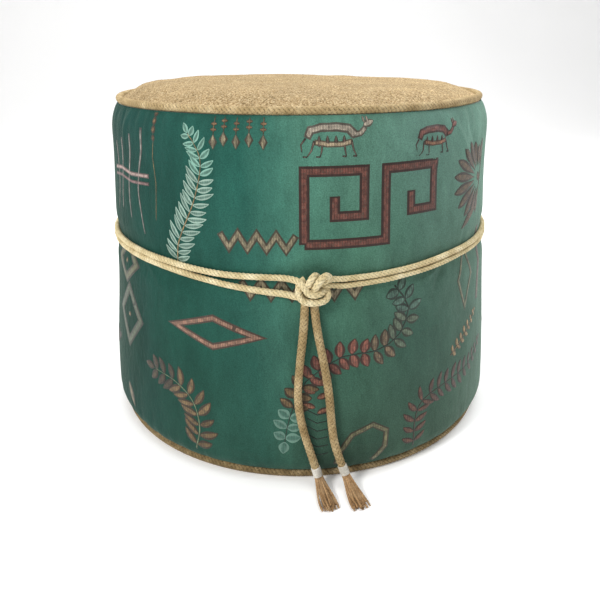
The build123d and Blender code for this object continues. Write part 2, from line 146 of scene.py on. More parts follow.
# ---- materials --------------------------------------------------------------
class Shader:
    """A Principled material with a few short ways to add procedural nodes."""

    def __init__(self, name, roughness=0.8, metallic=0.0, sheen=0.0, sheen_tint=None,
                 sheen_roughness=0.5, specular=0.3):
        self.material = bpy.data.materials.new(name)
        self.material.use_nodes = True
        self.tree = self.material.node_tree
        self.shader = self.tree.nodes["Principled BSDF"]
        inputs = self.shader.inputs
        inputs["Roughness"].default_value = roughness
        inputs["Metallic"].default_value = metallic
        inputs["Specular IOR Level"].default_value = specular
        inputs["Sheen Weight"].default_value = sheen
        inputs["Sheen Roughness"].default_value = sheen_roughness
        if sheen_tint:
            inputs["Sheen Tint"].default_value = (*sheen_tint, 1)
        self.where = self.node("ShaderNodeTexCoord").outputs["Object"]

    def node(self, kind, **settings):
        made = self.tree.nodes.new(kind)
        for key, value in settings.items():
            setattr(made, key, value)
        return made

    def link(self, out, into):
        self.tree.links.new(out, into)

    def fill(self, socket, value):
        if isinstance(value, bpy.types.NodeSocket):
            self.link(value, socket)
        elif isinstance(value, tuple) and len(value) == 3 and socket.type == "RGBA":
            socket.default_value = (*value, 1)
        else:
            socket.default_value = value

    def value(self, name, vector=False):
        """A named point value of the mesh."""
        made = self.node("ShaderNodeAttribute", attribute_name=name)
        return made.outputs["Vector" if vector else "Fac"]

    def noise(self, scale, detail=3.0, rough=0.6, stretch=None):
        vector = self.where
        if stretch:
            mapping = self.node("ShaderNodeMapping")
            mapping.inputs["Scale"].default_value = stretch
            self.link(vector, mapping.inputs["Vector"])
            vector = mapping.outputs["Vector"]
        made = self.node("ShaderNodeTexNoise")
        self.link(vector, made.inputs["Vector"])
        made.inputs["Scale"].default_value = scale
        made.inputs["Detail"].default_value = detail
        made.inputs["Roughness"].default_value = rough
        return made.outputs["Fac"]

    def voronoi(self, scale):
        made = self.node("ShaderNodeTexVoronoi")
        self.link(self.where, made.inputs["Vector"])
        made.inputs["Scale"].default_value = scale
        return made.outputs["Distance"]

    def math(self, operation, *values, clamp=False):
        made = self.node("ShaderNodeMath", operation=operation, use_clamp=clamp)
        for socket, value in zip(made.inputs, values):
            self.fill(socket, value)
        return made.outputs[0]

    def wave(self, factor, pitch):
        """A sine along a factor."""
        return self.math("SINE", self.math("MULTIPLY", factor, TAU / pitch))

    def ramp(self, factor, *stops):
        """Colours or greys at positions along a factor."""
        made = self.node("ShaderNodeValToRGB")
        ramp = made.color_ramp
        while len(ramp.elements) < len(stops):
            ramp.elements.new(1.0)
        for element, (position, colour) in zip(ramp.elements, stops):
            element.position = position
            colour = (colour,) * 3 if isinstance(colour, float) else colour
            element.color = (*colour, 1)
        self.link(factor, made.inputs["Fac"])
        return made.outputs["Color"]

    def mix(self, factor, first, second, blend="MIX"):
        made = self.node("ShaderNodeMix", data_type="RGBA", blend_type=blend)
        self.fill(made.inputs["Factor"], factor)
        self.fill(made.inputs["A"], first)
        self.fill(made.inputs["B"], second)
        return made.outputs["Result"]

    def separate(self, vector):
        made = self.node("ShaderNodeSeparateXYZ")
        self.link(vector, made.inputs[0])
        return made.outputs

    def colour(self, value):
        self.fill(self.shader.inputs["Base Color"], value)

    def roughness(self, value):
        self.fill(self.shader.inputs["Roughness"], value)

    def bump(self, height, distance, strength=1.0):
        made = self.node("ShaderNodeBump")
        made.inputs["Strength"].default_value = strength
        made.inputs["Distance"].default_value = distance
        self.link(height, made.inputs["Height"])
        previous = self.shader.inputs["Normal"].links
        if previous:
            self.link(previous[0].from_socket, made.inputs["Normal"])
        self.link(made.outputs["Normal"], self.shader.inputs["Normal"])


def srgb(code):
    """Linear colour from a hex code."""
    parts = [int(code[i:i + 2], 16) / 255 for i in (0, 2, 4)]
    return tuple(c / 12.92 if c <= 0.04045 else ((c + 0.055) / 1.055) ** 2.4 for c in parts)


# Velvet colours from the left to the right of the pouf, in bands that blend between two heights: painted
# shade darkens the left and the lower bands, and painted sheen lightens the right and the highest band.
PAINTED_LIGHT_PER_METRE = 2.15
WEAVE_PITCH = 0.9            # mm, of the cloth under the pile and of the fibres in a yarn
PAINTED_LIGHT_STOPS = (0.0, 0.12, 0.24, 0.34, 0.42, 0.50, 0.62, 0.76, 0.90, 1.0)
PAINTED_LIGHT_BANDS = (
    (0.0, 0.0, "1d3e37 21443c 254a3f 2a5145 34584a 31493d 344c3f 3f5749 4a6154 546b5f"),
    (0.03, 0.14, "1f3c33 1c3e37 1e493e 285449 376154 385f50 3a5b4c 3f5c50 4b6559 597265"),
    (0.14, 0.24, "1d3c34 1c433b 1a463d 2a5b50 407364 477665 487260 4f7062 587769 648375"),
    (0.24, 0.345, "183633 1e4640 1f4d44 24594e 3e7163 508170 537c6c 628679 6c9182 719586"),
)


def velvet_material():
    """Short-pile velvet in teal, with painted shade that darkens the left and low down, and painted sheen
    that turns the right and the upper crest to sage.
    """
    s = Shader("velvet", 0.8, sheen=0.22, sheen_tint=srgb("a9bfb0"), sheen_roughness=0.3, specular=0.12)
    across = s.separate(s.where)
    # painted light across the pouf: darker shade on the left, paler sheen on the right
    painted_light = s.math("MULTIPLY_ADD", across[0], PAINTED_LIGHT_PER_METRE, 0.5)
    drift = s.noise(5.0, 4.0, 0.6, stretch=(1, 1, 0.5))
    painted_light = s.math("ADD", painted_light, s.math("MULTIPLY", s.math("SUBTRACT", drift, 0.5), 0.35), clamp=True)
    colour = None
    for low, high, codes in PAINTED_LIGHT_BANDS:
        band = s.ramp(painted_light, *[(stop, srgb(code)) for stop, code in zip(PAINTED_LIGHT_STOPS, codes.split())])
        if colour is None:
            colour = band
        else:
            # painted shade in the lower bands, painted sheen in the highest band
            colour = s.mix(s.ramp(across[2], (low, 0.0), (high, 1.0)), colour, band)
    pile = s.noise(900.0, 2.0, 0.75)
    crushed = s.noise(48.0, 5.0, 0.7, stretch=(1, 1, 0.4))
    patches = s.noise(13.0, 4.0, 0.6, stretch=(1, 1, 0.6))
    colour = s.mix(0.8, colour, s.ramp(pile, (0.25, 0.55), (0.75, 1.3)), "MULTIPLY")
    colour = s.mix(0.75, colour, s.ramp(crushed, (0.28, 0.72), (0.72, 1.22)), "MULTIPLY")
    colour = s.mix(0.7, colour, s.ramp(patches, (0.32, 0.78), (0.68, 1.18)), "MULTIPLY")
    cloth = s.separate(s.value("cloth", vector=True))
    weave = s.math("MULTIPLY", s.wave(cloth[0], WEAVE_PITCH), s.wave(cloth[1], WEAVE_PITCH))
    s.colour(colour)
    s.bump(weave, 0.00004, 0.6)
    s.bump(pile, 0.00025, 0.8)
    s.bump(crushed, 0.0030, 0.7)
    return s.material


def motif_material():
    """Raised metallic weft threads inside a woven outline that is darker or, on silver, lighter."""
    s = Shader("motif_thread", 0.5, metallic=0.2, sheen=0.1, specular=0.35)
    tint = s.value("tint", vector=True)
    cloth = s.separate(s.value("cloth", vector=True))
    rim = s.value("rim")
    pale = s.value("pale")
    slant = s.math("ADD", s.math("MULTIPLY", cloth[0], 0.8), cloth[1])
    cross = s.math("MULTIPLY", s.wave(cloth[0], 2.6), 0.6)
    lines = s.math("MULTIPLY_ADD", s.math("ADD", s.wave(slant, 1.3), cross), 0.30, 0.5)
    block = s.math("MULTIPLY", s.wave(cloth[0], 13.0), s.wave(cloth[1], 11.0))
    patchy = s.noise(260.0, 5.0, 0.8)
    colour = s.mix(1.0, tint, s.ramp(lines, (0.12, 0.40), (0.8, 1.25)), "MULTIPLY")
    colour = s.mix(0.9, colour, s.ramp(patchy, (0.34, 0.35), (0.66, 1.5)), "MULTIPLY")
    colour = s.mix(0.8, colour, s.ramp(block, (0.0, 0.72), (0.12, 1.1)), "MULTIPLY")
    worn = s.ramp(s.noise(520.0, 3.0, 0.8), (0.53, 0.0), (0.66, 0.6))
    colour = s.mix(worn, colour, srgb("24483e"))
    inside = s.ramp(rim, (0.20, 0.65), (0.60, 0.0))
    colour = s.mix(s.math("MULTIPLY", inside, pale), colour, srgb("2b5a4c"))
    outline = s.ramp(rim, (0.42, 0.0), (0.60, 1.0))
    dark = s.mix(0.10, srgb("100f0c"), tint)
    edge = s.mix(pale, dark, tint)
    colour = s.mix(s.math("MULTIPLY", outline, 0.92), colour, edge)
    s.colour(colour)
    s.roughness(s.ramp(patchy, (0.2, 0.36), (0.8, 0.7)))
    s.bump(lines, 0.00025, 0.9)
    s.bump(patchy, 0.0005, 0.7)
    return s.material


def boucle_material():
    """Looped boucle in beige with light and brown loops, painted light towards the right and painted shade
    in the hollows between loops.
    """
    s = Shader("boucle", 0.94, sheen=0.12, sheen_tint=srgb("efe3c4"), specular=0.08)
    loops = s.voronoi(620.0)
    fine = s.noise(1300.0, 3.0, 0.8)
    speck = s.noise(560.0, 3.0, 0.8)
    patch = s.noise(26.0, 5.0, 0.65)
    relief = s.value("relief")
    colour = s.ramp(speck, (0.30, srgb("634f35")), (0.42, srgb("957c56")), (0.54, srgb("bda57d")),
                    (0.70, srgb("ead9b6")))
    # painted light: the boucle is brighter towards the right of the top, up to 17 % at its edge
    colour = s.mix(1.0, colour, s.ramp(s.separate(s.where)[0], (0.0, 1.0), (0.19, 1.17)), "MULTIPLY")
    # painted shade in the hollows: low relief darker, high relief lighter
    colour = s.mix(0.8, colour, s.ramp(relief, (0.05, 0.45), (0.45, 0.92), (0.85, 1.15)), "MULTIPLY")
    # painted shade between the loops, brighter at their middles
    colour = s.mix(0.6, colour, s.ramp(loops, (0.05, 1.12), (0.6, 0.62)), "MULTIPLY")
    colour = s.mix(0.8, colour, s.ramp(patch, (0.32, 0.80), (0.68, 1.16)), "MULTIPLY")
    s.colour(colour)
    s.bump(loops, -0.0010, 0.9)
    s.bump(fine, 0.0004, 0.8)
    return s.material


def yarn_material(name, dark, middle, light, groove_shade, fleck, flecks, sheen=0.12, roughness=0.86):
    """Plied natural yarn: painted light on the crests and painted shade in the grooves, painted shade near
    the floor, flecks and fibres along the strand.
    """
    s = Shader(name, roughness, sheen=sheen, sheen_tint=srgb("efe2c6"), specular=0.2)
    relief = s.value("relief")
    along = s.value("along")
    where = s.separate(s.where)
    fibre = s.noise(1300.0, 3.0, 0.8)
    drift = s.noise(60.0, 4.0, 0.65)
    specks = s.noise(700.0, 3.0, 0.75)
    colour = s.ramp(drift, (0.25, srgb(dark)), (0.5, srgb(middle)), (0.78, srgb(light)))
    # painted shade in the grooves and painted light on the crests of the plies
    colour = s.mix(1.0, colour, s.ramp(relief, (0.0, groove_shade), (0.38, 0.86), (0.8, 1.12)), "MULTIPLY")
    colour = s.mix(1.0, colour, s.value("tone"), "MULTIPLY")
    colour = s.mix(0.8, colour, s.ramp(fibre, (0.25, 0.58), (0.75, 1.3)), "MULTIPLY")
    glint = s.ramp(specks, (0.28, 0.5), (0.40, 0.0))
    colour = s.mix(glint, colour, srgb(light))
    spot = s.ramp(specks, (0.56, 0.0), (0.66, flecks))
    colour = s.mix(spot, colour, srgb(fleck))
    # painted shade near the floor: darker in the lowest 5 cm
    low = s.ramp(where[2], (0.0, 0.86), (0.05, 1.0))
    colour = s.mix(1.0, colour, low, "MULTIPLY")
    s.colour(colour)
    s.bump(s.wave(along, WEAVE_PITCH), 0.00012, 0.5)
    s.bump(fibre, 0.00035, 0.8)
    return s.material


def woven_material(name, light, dark, pitch, roughness=0.85):
    """Plain woven cloth: crossed threads with slubs and a little soiling."""
    s = Shader(name, roughness, specular=0.2, sheen=0.08)
    where = s.separate(s.where)
    weft = s.wave(s.math("ADD", where[1], where[2]), pitch)
    weave = s.math("MULTIPLY_ADD", s.math("MULTIPLY", s.wave(where[0], pitch), weft), 0.5, 0.5)
    slub = s.noise(300.0, 3.0, 0.7, stretch=(1, 0.15, 1))
    dirt = s.noise(24.0, 4.0, 0.6)
    colour = s.mix(s.ramp(weave, (0.2, 0.0), (0.8, 1.0)), srgb(dark), srgb(light))
    colour = s.mix(0.5, colour, s.ramp(slub, (0.3, 0.8), (0.7, 1.15)), "MULTIPLY")
    colour = s.mix(s.ramp(dirt, (0.55, 0.0), (0.8, 0.25)), colour, srgb("6f6048"))
    s.colour(colour)
    s.bump(weave, 0.00018, 0.7)
    s.bump(slub, 0.0002, 0.5)
    return s.material


def metal_material(name, light, dark):
    """Plated metal, rubbed brighter and duller in patches."""
    s = Shader(name, 0.35, metallic=1.0, specular=0.5)
    rub = s.noise(260.0, 4.0, 0.7)
    scratch = s.noise(900.0, 2.0, 0.8, stretch=(0.1, 1, 1))
    s.colour(s.ramp(rub, (0.3, srgb(dark)), (0.7, srgb(light))))
    s.roughness(s.ramp(scratch, (0.3, 0.22), (0.7, 0.5)))
    s.bump(scratch, 0.00003, 0.5)
    return s.material


def foam_material(name, light, dark, scale):
    """Open-cell foam or fluffy wadding."""
    s = Shader(name, 0.95, specular=0.1)
    cells = s.voronoi(scale)
    cloud = s.noise(30.0, 4.0, 0.6)
    colour = s.mix(0.6, s.ramp(cloud, (0.3, srgb(dark)), (0.7, srgb(light))),
                   s.ramp(cells, (0.1, 0.8), (0.6, 1.1)), "MULTIPLY")
    s.colour(colour)
    s.bump(cells, 0.0006, 0.7)
    return s.material


MATERIALS = {
    "velvet": velvet_material(),
    "motif": motif_material(),
    "boucle": boucle_material(),
    "piping": yarn_material("piping", "8a754e", "aa946c", "d2bf98", 0.14, "5b4528", 0.8),
    "jute_piping": yarn_material("jute_piping", "5f4d31", "8a7550", "c6af86", 0.14, "33261a", 0.9),
    "rope": yarn_material("rope", "ae9a70", "cfbf94", "efe4c2", 0.30, "80633c", 0.45),
    # the tails' rope: the belt's rope in darker colours
    "rope_aged": yarn_material("rope_aged", "816a43", "a18b63", "ccb78f", 0.28, "553f26", 0.7),
    "whipping": yarn_material("whipping", "a9a396", "d8d4ca", "f6f4ef", 0.30, "8d8676", 0.35, 0.3, 0.4),
    "tassel": yarn_material("tassel", "83633f", "a4815a", "cdae86", 0.45, "4d341d", 0.5),
    "base_canvas": woven_material("base_canvas", "b8aa90", "8f8269", 0.0011),
    "zip_tape": woven_material("zip_tape", "a2957c", "7d725c", 0.0007, 0.7),
    "liner": woven_material("liner", "e4dfd2", "c9c3b4", 0.0008),
    "zip_teeth": metal_material("zip_teeth", "c9b27c", "8e7647"),
    "zip_metal": metal_material("zip_metal", "d2bd8a", "947d50"),
    "wadding": foam_material("wadding", "f4f3ef", "dddad2", 240.0),
    "foam": foam_material("foam", "efe6c4", "dccf9f", 700.0),
}


# ---- outlines of the CAD cover ----------------------------------------------
def cad_outline(name, keep):
    """Radius and height of the outer points of a turned CAD node, in mm, from its mesh."""
    mesh = nodes[name].data
    points = np.empty(len(mesh.vertices) * 3, dtype=np.float64)
    mesh.vertices.foreach_get("co", points)
    points = points.reshape(-1, 3) / MM
    found = set()
    for polygon in mesh.polygons:
        if keep(polygon):
            found.update(polygon.vertices)
    chosen = points[sorted(found)]
    return np.unique(np.round(np.stack([np.hypot(*chosen[:, :2].T), chosen[:, 2]], 1), 2), axis=0)


def facing_out(polygon):
    flat = Vector(polygon.center[:2]).normalized()
    return Vector(polygon.normal[:2]).dot(flat) > 0.15


def facing_up(polygon):
    return polygon.normal[2] > 0.1


def side_profile():
    """Side outline as heights and radii every millimetre, from the base seam to the top seam."""
    profile = cad_outline("side_panel", facing_out)
    profile = profile[np.argsort(profile[:, 1])]
    heights = np.arange(profile[0, 1], profile[-1, 1] + 0.5, 1.0)
    heights[-1] = profile[-1, 1]
    radii = np.interp(heights, profile[:, 1], profile[:, 0])
    soft = smooth_rows(radii, 3.0)
    edge = np.minimum(heights - heights[0], heights[-1] - heights) / 12.0
    return heights, radii + (soft - radii) * np.clip(edge, 0, 1)


# Heights in mm that the crown's outer face stays above, in the middle, at 160 mm and at the seam.
CROWN_FLOOR = [383.4, 382.9, 371.9]


def crown_profile():
    """Crown outline as radii and heights, from the middle to the seam."""
    profile = cad_outline("top_panel", facing_up)
    profile = profile[profile[:, 1] > profile[-1, 1] - 0.5]
    edge = profile[-1, 0]
    radii = np.append(np.arange(0, edge, 1.5), edge)
    profile = profile[np.argsort(profile[:, 0])]
    floor = np.interp(profile[:, 0], [0, 160, edge], CROWN_FLOOR)
    upper = profile[profile[:, 1] >= floor]
    return radii, smooth_rows(np.interp(radii, upper[:, 0], upper[:, 1]), 2.0)


SIDE_HEIGHTS, SIDE_RADII = side_profile()
CROWN_RADII, CROWN_HEIGHTS = crown_profile()
SEAM_TOP = float(SIDE_HEIGHTS[-1])
SEAM_BASE = float(SIDE_HEIGHTS[0])

# ---- the belt's line --------------------------------------------------------
# Height of the middle of the belt above the waist ring of the CAD, by azimuth: it dips at
# the knot, a little lower on the left, and lies level round the sides and the back.
belt_tops = [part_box(f"belt_rope_{strand}")[1][2] / MM for strand in ("upper", "lower")]
BELT_RADIUS = 3.4
WAIST = sum(belt_tops) / 2 - BELT_RADIUS
BELT_KEYS = [(-180, 2.0), (-75, 2.6), (-57, 2.6), (-44, 1.4), (-30, -2.0), (-20, -5.0), (-13, -6.0),
             (-7, -6.8), (0, -6.5), (6, -4.8), (16, -4.2), (27, -2.0), (41, 1.8), (60, 2.6), (180, 2.0)]
# Half the distance between the two strands, which part company on the left of the knot.
SPREAD_KEYS = [(-180, 3.1), (-44, 3.1), (-30, 3.8), (-20, 5.2), (-13, 6.8), (-7, 8.2), (-4, 8.4),
               (4, 3.4), (16, 3.1), (27, 3.0), (180, 3.1)]


def keyed(keys, azimuth):
    """Smoothed value at azimuths in degrees from -180 to 180."""
    fine = np.linspace(-180, 180, 721)
    places, values = zip(*keys)
    level = smooth_rows(np.interp(fine, places, values), 6.0)
    return np.interp(azimuth, fine, level)


def belt_height(azimuth):
    return WAIST + keyed(BELT_KEYS, azimuth)


# ---- side panel surface -----------------------------------------------------
SIDE_COLUMNS = 721           # one open strip: both edges meet at the back seam
SIDE_ROWS = 186
ARC_RADIUS = 225.0           # one millimetre of motif width is one millimetre at this radius
RELIEF_LOW = -1.1
RELIEF_HIGH = 3.4
PUFF_SHARE = 0.3             # how much of the simulated bulge the side takes
CROWN_PUFF_SHARE = 0.5       # and how much the crown takes
CREASE_GAIN = 1.3
side_azimuths = np.linspace(-180, 180, SIDE_COLUMNS)
side_heights = np.linspace(SEAM_BASE, SEAM_TOP, SIDE_ROWS)


def cloth_run(points, faces, pinned, outward, frames, pressure, grow):
    """Blows up a pinned sheet with Cloth and returns how far each point moved outwards."""
    mesh = bpy.data.meshes.new("cloth_try")
    mesh.from_pydata(points.tolist(), [], faces.tolist())
    obj = bpy.data.objects.new("cloth_try", mesh)
    bpy.context.collection.objects.link(obj)
    group = obj.vertex_groups.new(name="pin")
    group.add([int(i) for i in np.flatnonzero(pinned)], 1.0, "REPLACE")
    cloth = obj.modifiers.new("cloth", "CLOTH")
    settings = cloth.settings
    settings.quality = 6
    settings.mass = 0.25
    settings.tension_stiffness = 30
    settings.compression_stiffness = 20
    settings.shear_stiffness = 12
    settings.bending_stiffness = 1.2
    settings.air_damping = 3
    settings.vertex_group_mass = "pin"
    settings.use_pressure = True
    settings.uniform_pressure_force = pressure
    settings.shrink_min = -grow
    settings.effector_weights.gravity = 0
    scene = bpy.context.scene
    cloth.point_cache.frame_start = 1
    cloth.point_cache.frame_end = frames
    for step in range(1, frames + 1):
        scene.frame_set(step)
    shape = obj.evaluated_get(bpy.context.evaluated_depsgraph_get())
    moved = np.empty(len(points) * 3)
    shape.data.vertices.foreach_get("co", moved)
    moved = moved.reshape(-1, 3)
    scene.frame_set(1)
    bpy.data.objects.remove(obj)
    bpy.data.meshes.remove(mesh)
    return ((moved - points) * outward).sum(1)


def simulated_side():
    """Outward bulge of the velvet in mm on a coarse grid, from a cloth simulation."""
    columns, rows = 180, 48
    azimuth = np.radians(np.linspace(-180, 180, columns, endpoint=False))
    heights = np.linspace(SEAM_BASE, SEAM_TOP, rows)
    radius = np.interp(heights, SIDE_HEIGHTS, SIDE_RADII)[:, None] + rng.normal(0, 0.25, (rows, columns))
    outward = np.stack([
        np.sin(azimuth) + 0 * radius,
        -np.cos(azimuth) + 0 * radius,
        0 * radius,
    ], -1).reshape(-1, 3)
    points = outward * radius.reshape(-1, 1)
    points[:, 2] = np.repeat(heights, columns)
    pinned = np.abs(heights[:, None] - belt_height(np.degrees(azimuth))[None]) < 4.5
    pinned[0] = pinned[-1] = True
    moved = cloth_run(points * MM, grid_faces(rows, columns, True), pinned.ravel(), outward, 20, 4.0, 0.02)
    return (moved / MM).reshape(rows, columns)


def gathers(count, reach, amount, sharp):
    """Small tucks that run from a seam: (azimuth samples) strength, and how far each reaches."""
    azimuth = np.radians(side_azimuths)
    centres = np.cumsum(rng.uniform(0.5, 1.5, count))
    centres = centres / centres[-1] * TAU - math.pi
    strength = np.zeros((2, len(azimuth)))
    for centre in centres:
        away = np.angle(np.exp(1j * (azimuth - centre))) * ARC_RADIUS / (sharp * rng.uniform(0.7, 1.5))
        size = rng.uniform(0.3, 1.0)
        bell = size * np.exp(-away ** 2)
        strength[0] += bell
        strength[1] = np.maximum(strength[1], reach * (0.4 + size) * np.exp(-(away / 3) ** 2))
    return amount * strength[0], np.maximum(strength[1], reach * 0.5)


# Soft creases of the velvet: azimuth, height, slant in degrees, half length, size and width in mm.
CREASES = [
    (14, 352, -28, 26, 1.2, 4.0), (22, 340, -35, 30, -1.0, 3.5), (30, 330, -24, 34, 1.4, 4.5),
    (38, 344, -40, 24, -1.0, 3.5), (46, 336, -52, 28, 1.3, 4.0), (54, 326, -60, 26, -1.0, 4.0),
    (-8, 345, 75, 18, 0.9, 4.0), (-30, 346, 62, 22, -0.9, 4.0), (-58, 350, 70, 18, 1.0, 4.0),
    (33, 207, 30, 12, 1.8, 4.0), (36, 200, 52, 14, -1.1, 3.2), (24, 178, -8, 34, 0.9, 5.0),
    (38, 150, -6, 42, 0.9, 4.5), (18, 104, 5, 38, 0.8, 5.0), (-16, 188, 18, 24, 0.8, 4.5),
    (-46, 206, -35, 16, 1.1, 4.0), (8, 40, 4, 34, 0.9, 4.0), (-18, 34, -5, 30, 0.8, 4.0),
    (96, 336, -40, 30, 1.3, 4.5), (118, 346, 50, 24, -1.0, 4.0), (150, 330, 65, 26, 1.2, 4.5),
    (-100, 338, 48, 28, 1.2, 4.5), (-128, 348, -60, 22, 1.1, 4.0), (-160, 332, -40, 30, 1.2, 4.5),
    (104, 198, 30, 16, 1.5, 4.0), (-112, 202, -32, 16, 1.5, 4.0), (140, 120, 8, 40, 0.9, 5.0),
    (-140, 96, -6, 40, 0.9, 5.0),
]


def side_relief():
    """How far the velvet stands off its plain outline, in mm, on the dense grid."""
    coarse = simulated_side()
    rows, columns = coarse.shape
    coarse = np.clip(coarse, RELIEF_LOW, RELIEF_HIGH)
    coarse = np.concatenate([coarse, coarse[:, :1]], 1)
    by_column = np.stack([
        np.interp(side_azimuths, np.linspace(-180, 180, columns + 1), coarse[row]) for row in range(rows)
    ])
    spot = np.linspace(0, rows - 1, SIDE_ROWS)
    low = np.minimum(spot.astype(int), rows - 2)
    part = (spot - low)[:, None]
    puff = by_column[low] * (1 - part) + by_column[low + 1] * part
    puff = smooth_rows(smooth_rows(puff, 3.0).T, 2.0).T
    height = side_heights[:, None]
    total = PUFF_SHARE * puff
    for azimuth, place, slant, length, size, width in CREASES:
        along = (side_azimuths[None] - azimuth) * math.radians(1) * ARC_RADIUS
        turn = math.radians(slant)
        run = along * math.cos(turn) + (height - place) * math.sin(turn)
        off = -along * math.sin(turn) + (height - place) * math.cos(turn) + run ** 2 / 260
        total = total + CREASE_GAIN * size * np.exp(-(run / length) ** 2 - (off / width) ** 2)
    angle = np.radians(side_azimuths)
    for waves in ((3, 5), (7, 4), (11, 9), (17, 6)):
        shape = np.zeros_like(angle)
        for _ in range(3):
            wave = waves[0] + int(rng.integers(0, 4))
            shape = shape + rng.normal() * np.sin(wave * angle + rng.uniform(0, TAU))
        bends = math.pi * rng.uniform(0.8, waves[1])
        tall = np.sin(height / (SEAM_TOP - SEAM_BASE) * bends + rng.uniform(0, TAU))
        total = total + 0.22 * shape[None] * tall
    from_top = SEAM_TOP - height
    from_base = height - SEAM_BASE
    for seam, count, reach, amount, sharp in (
        (from_top, 58, 32.0, 1.9, 4.4),
        (from_base, 54, 22.0, 1.2, 4.6),
    ):
        strength, far = gathers(count, reach, amount, sharp)
        fade = np.exp(-(seam / far[None]) ** 1.5) * np.clip(seam / 3.0, 0, 1)
        total = total - strength[None] * fade + 0.8 * fade
    middle = belt_height(side_azimuths)[None]
    for side, count, amount in ((1, 40, 1.3), (-1, 46, 1.6)):
        strength, far = gathers(count, 17.0, amount, 3.6)
        away = side * (height - middle)
        fade = np.where(away > 0, np.exp(-(np.maximum(away, 0) / far[None]) ** 1.4), 0.0)
        fade = fade * np.clip(away / 5.0, 0, 1)
        total = total - strength[None] * fade + 0.8 * fade
    seam_line = np.minimum(side_azimuths + 180, 180 - side_azimuths) / 360 * TAU * ARC_RADIUS
    total = total + 0.9 * np.exp(-((seam_line - 4.5) / 3.0) ** 2)[None]
    total = total - 1.6 * np.exp(-(seam_line / 1.6) ** 2)[None]
    return np.clip(total, RELIEF_LOW, RELIEF_HIGH)


def side_surface():
    """Radii in mm of the velvet on the dense grid: the belt's dip carries its pinch along."""
    dip = belt_height(side_azimuths) - WAIST
    window = np.exp(-(((side_heights - WAIST) / 42.0) ** 2))[:, None]
    looked_up = side_heights[:, None] - dip[None] * window
    radius = np.interp(looked_up.ravel(), SIDE_HEIGHTS, SIDE_RADII).reshape(looked_up.shape)
    return radius + side_relief()


SIDE_SURFACE = side_surface()


def side_point(arc, height, lift):
    """Points in metres on the velvet at an arc length from the knot's azimuth and a height in mm."""
    arc, height, lift = np.broadcast_arrays(arc, height, lift)
    azimuth = (np.degrees(arc / ARC_RADIUS) + 180) % 360 - 180
    column = (azimuth + 180) / 360 * (SIDE_COLUMNS - 1)
    row = np.clip((height - SEAM_BASE) / (SEAM_TOP - SEAM_BASE), 0, 1) * (SIDE_ROWS - 1)
    c0 = np.minimum(column.astype(int), SIDE_COLUMNS - 2)
    r0 = np.minimum(row.astype(int), SIDE_ROWS - 2)
    cp, rp = column - c0, row - r0
    radius = (
        SIDE_SURFACE[r0, c0] * (1 - cp) * (1 - rp) + SIDE_SURFACE[r0, c0 + 1] * cp * (1 - rp)
        + SIDE_SURFACE[r0 + 1, c0] * (1 - cp) * rp + SIDE_SURFACE[r0 + 1, c0 + 1] * cp * rp
    ) + lift
    turn = np.radians(azimuth)
    return np.stack([radius * np.sin(turn), -radius * np.cos(turn), height], -1) * MM


def make_side():
    arc = np.radians(side_azimuths)[None] * ARC_RADIUS + 0 * side_heights[:, None]
    height = side_heights[:, None] + 0 * arc
    turn = np.radians(side_azimuths)[None]
    points = np.stack([
        SIDE_SURFACE * np.sin(turn), -SIDE_SURFACE * np.cos(turn), height,
    ], -1).reshape(-1, 3) * MM
    cloth = np.stack([arc, height, 0 * arc], -1).reshape(-1, 3)
    side = new_object("side_cover", points, grid_faces(SIDE_ROWS, SIDE_COLUMNS), MATERIALS["velvet"],
                      values={"cloth": cloth})
    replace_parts(side, "side_panel")
    return side


side_cover = make_side()


# ---- ropes ------------------------------------------------------------------
def spline_line(name, controls):
    """Points along a smooth NURBS line through the pull of its control points, all in metres."""
    data = bpy.data.curves.new(name, "CURVE")
    data.dimensions = "3D"
    spline = data.splines.new("NURBS")
    spline.points.add(len(controls) - 1)
    for point, place in zip(spline.points, controls):
        point.co = (*place, 1)
    spline.order_u = 3
    spline.use_endpoint_u = True
    spline.resolution_u = 24
    obj = bpy.data.objects.new(name, data)
    bpy.context.collection.objects.link(obj)
    mesh = bpy.data.meshes.new_from_object(obj)
    points = np.array([tuple(v.co) for v in mesh.vertices])
    bpy.data.objects.remove(obj)
    bpy.data.curves.remove(data)
    bpy.data.meshes.remove(mesh)
    return points


def resample(path, step):
    """Evenly spaced points along a path, and the length along it at each."""
    gaps = np.linalg.norm(np.diff(path, axis=0), axis=1)
    kept = np.concatenate([[True], gaps > 1e-7])
    path = path[kept]
    run = np.concatenate([[0], np.cumsum(np.linalg.norm(np.diff(path, axis=0), axis=1))])
    count = max(4, int(round(run[-1] / step)) + 1)
    places = np.linspace(0, run[-1], count)
    return np.stack([np.interp(places, run, path[:, i]) for i in range(3)], 1), places


def frames_along(path, closed=False):
    """Two unit vectors across a path at each point, turning as little as possible."""
    heading = np.gradient(path, axis=0)
    if closed:
        heading = np.roll(path, -1, 0) - np.roll(path, 1, 0)
    heading /= np.linalg.norm(heading, axis=1)[:, None]
    start = np.cross(heading[0], (0.31, 0.21, 0.93))
    first = np.empty_like(path)
    first[0] = start / np.linalg.norm(start)
    for i in range(1, len(path)):
        across = first[i - 1] - heading[i] * first[i - 1].dot(heading[i])
        first[i] = across / np.linalg.norm(across)
    return first, np.cross(heading, first)


def braid(angle, run, columns, pitch):
    """Height from 0 to 1 of a braid's crossing strands at an angle and a length along it."""
    lean = 0.5 + 0.5 * np.tanh(3.5 * np.cos(columns * angle))
    up = 0.5 + 0.5 * np.cos(columns * angle - TAU * run / pitch)
    down = 0.5 + 0.5 * np.cos(columns * angle + TAU * run / pitch)
    return lean * np.sqrt(up) + (1 - lean) * np.sqrt(down)


def twist(angle, run, columns, pitch):
    """Height from 0 to 1 of plies that wind one way."""
    return np.abs(np.cos(0.5 * (columns * angle - TAU * run / pitch))) ** 0.8


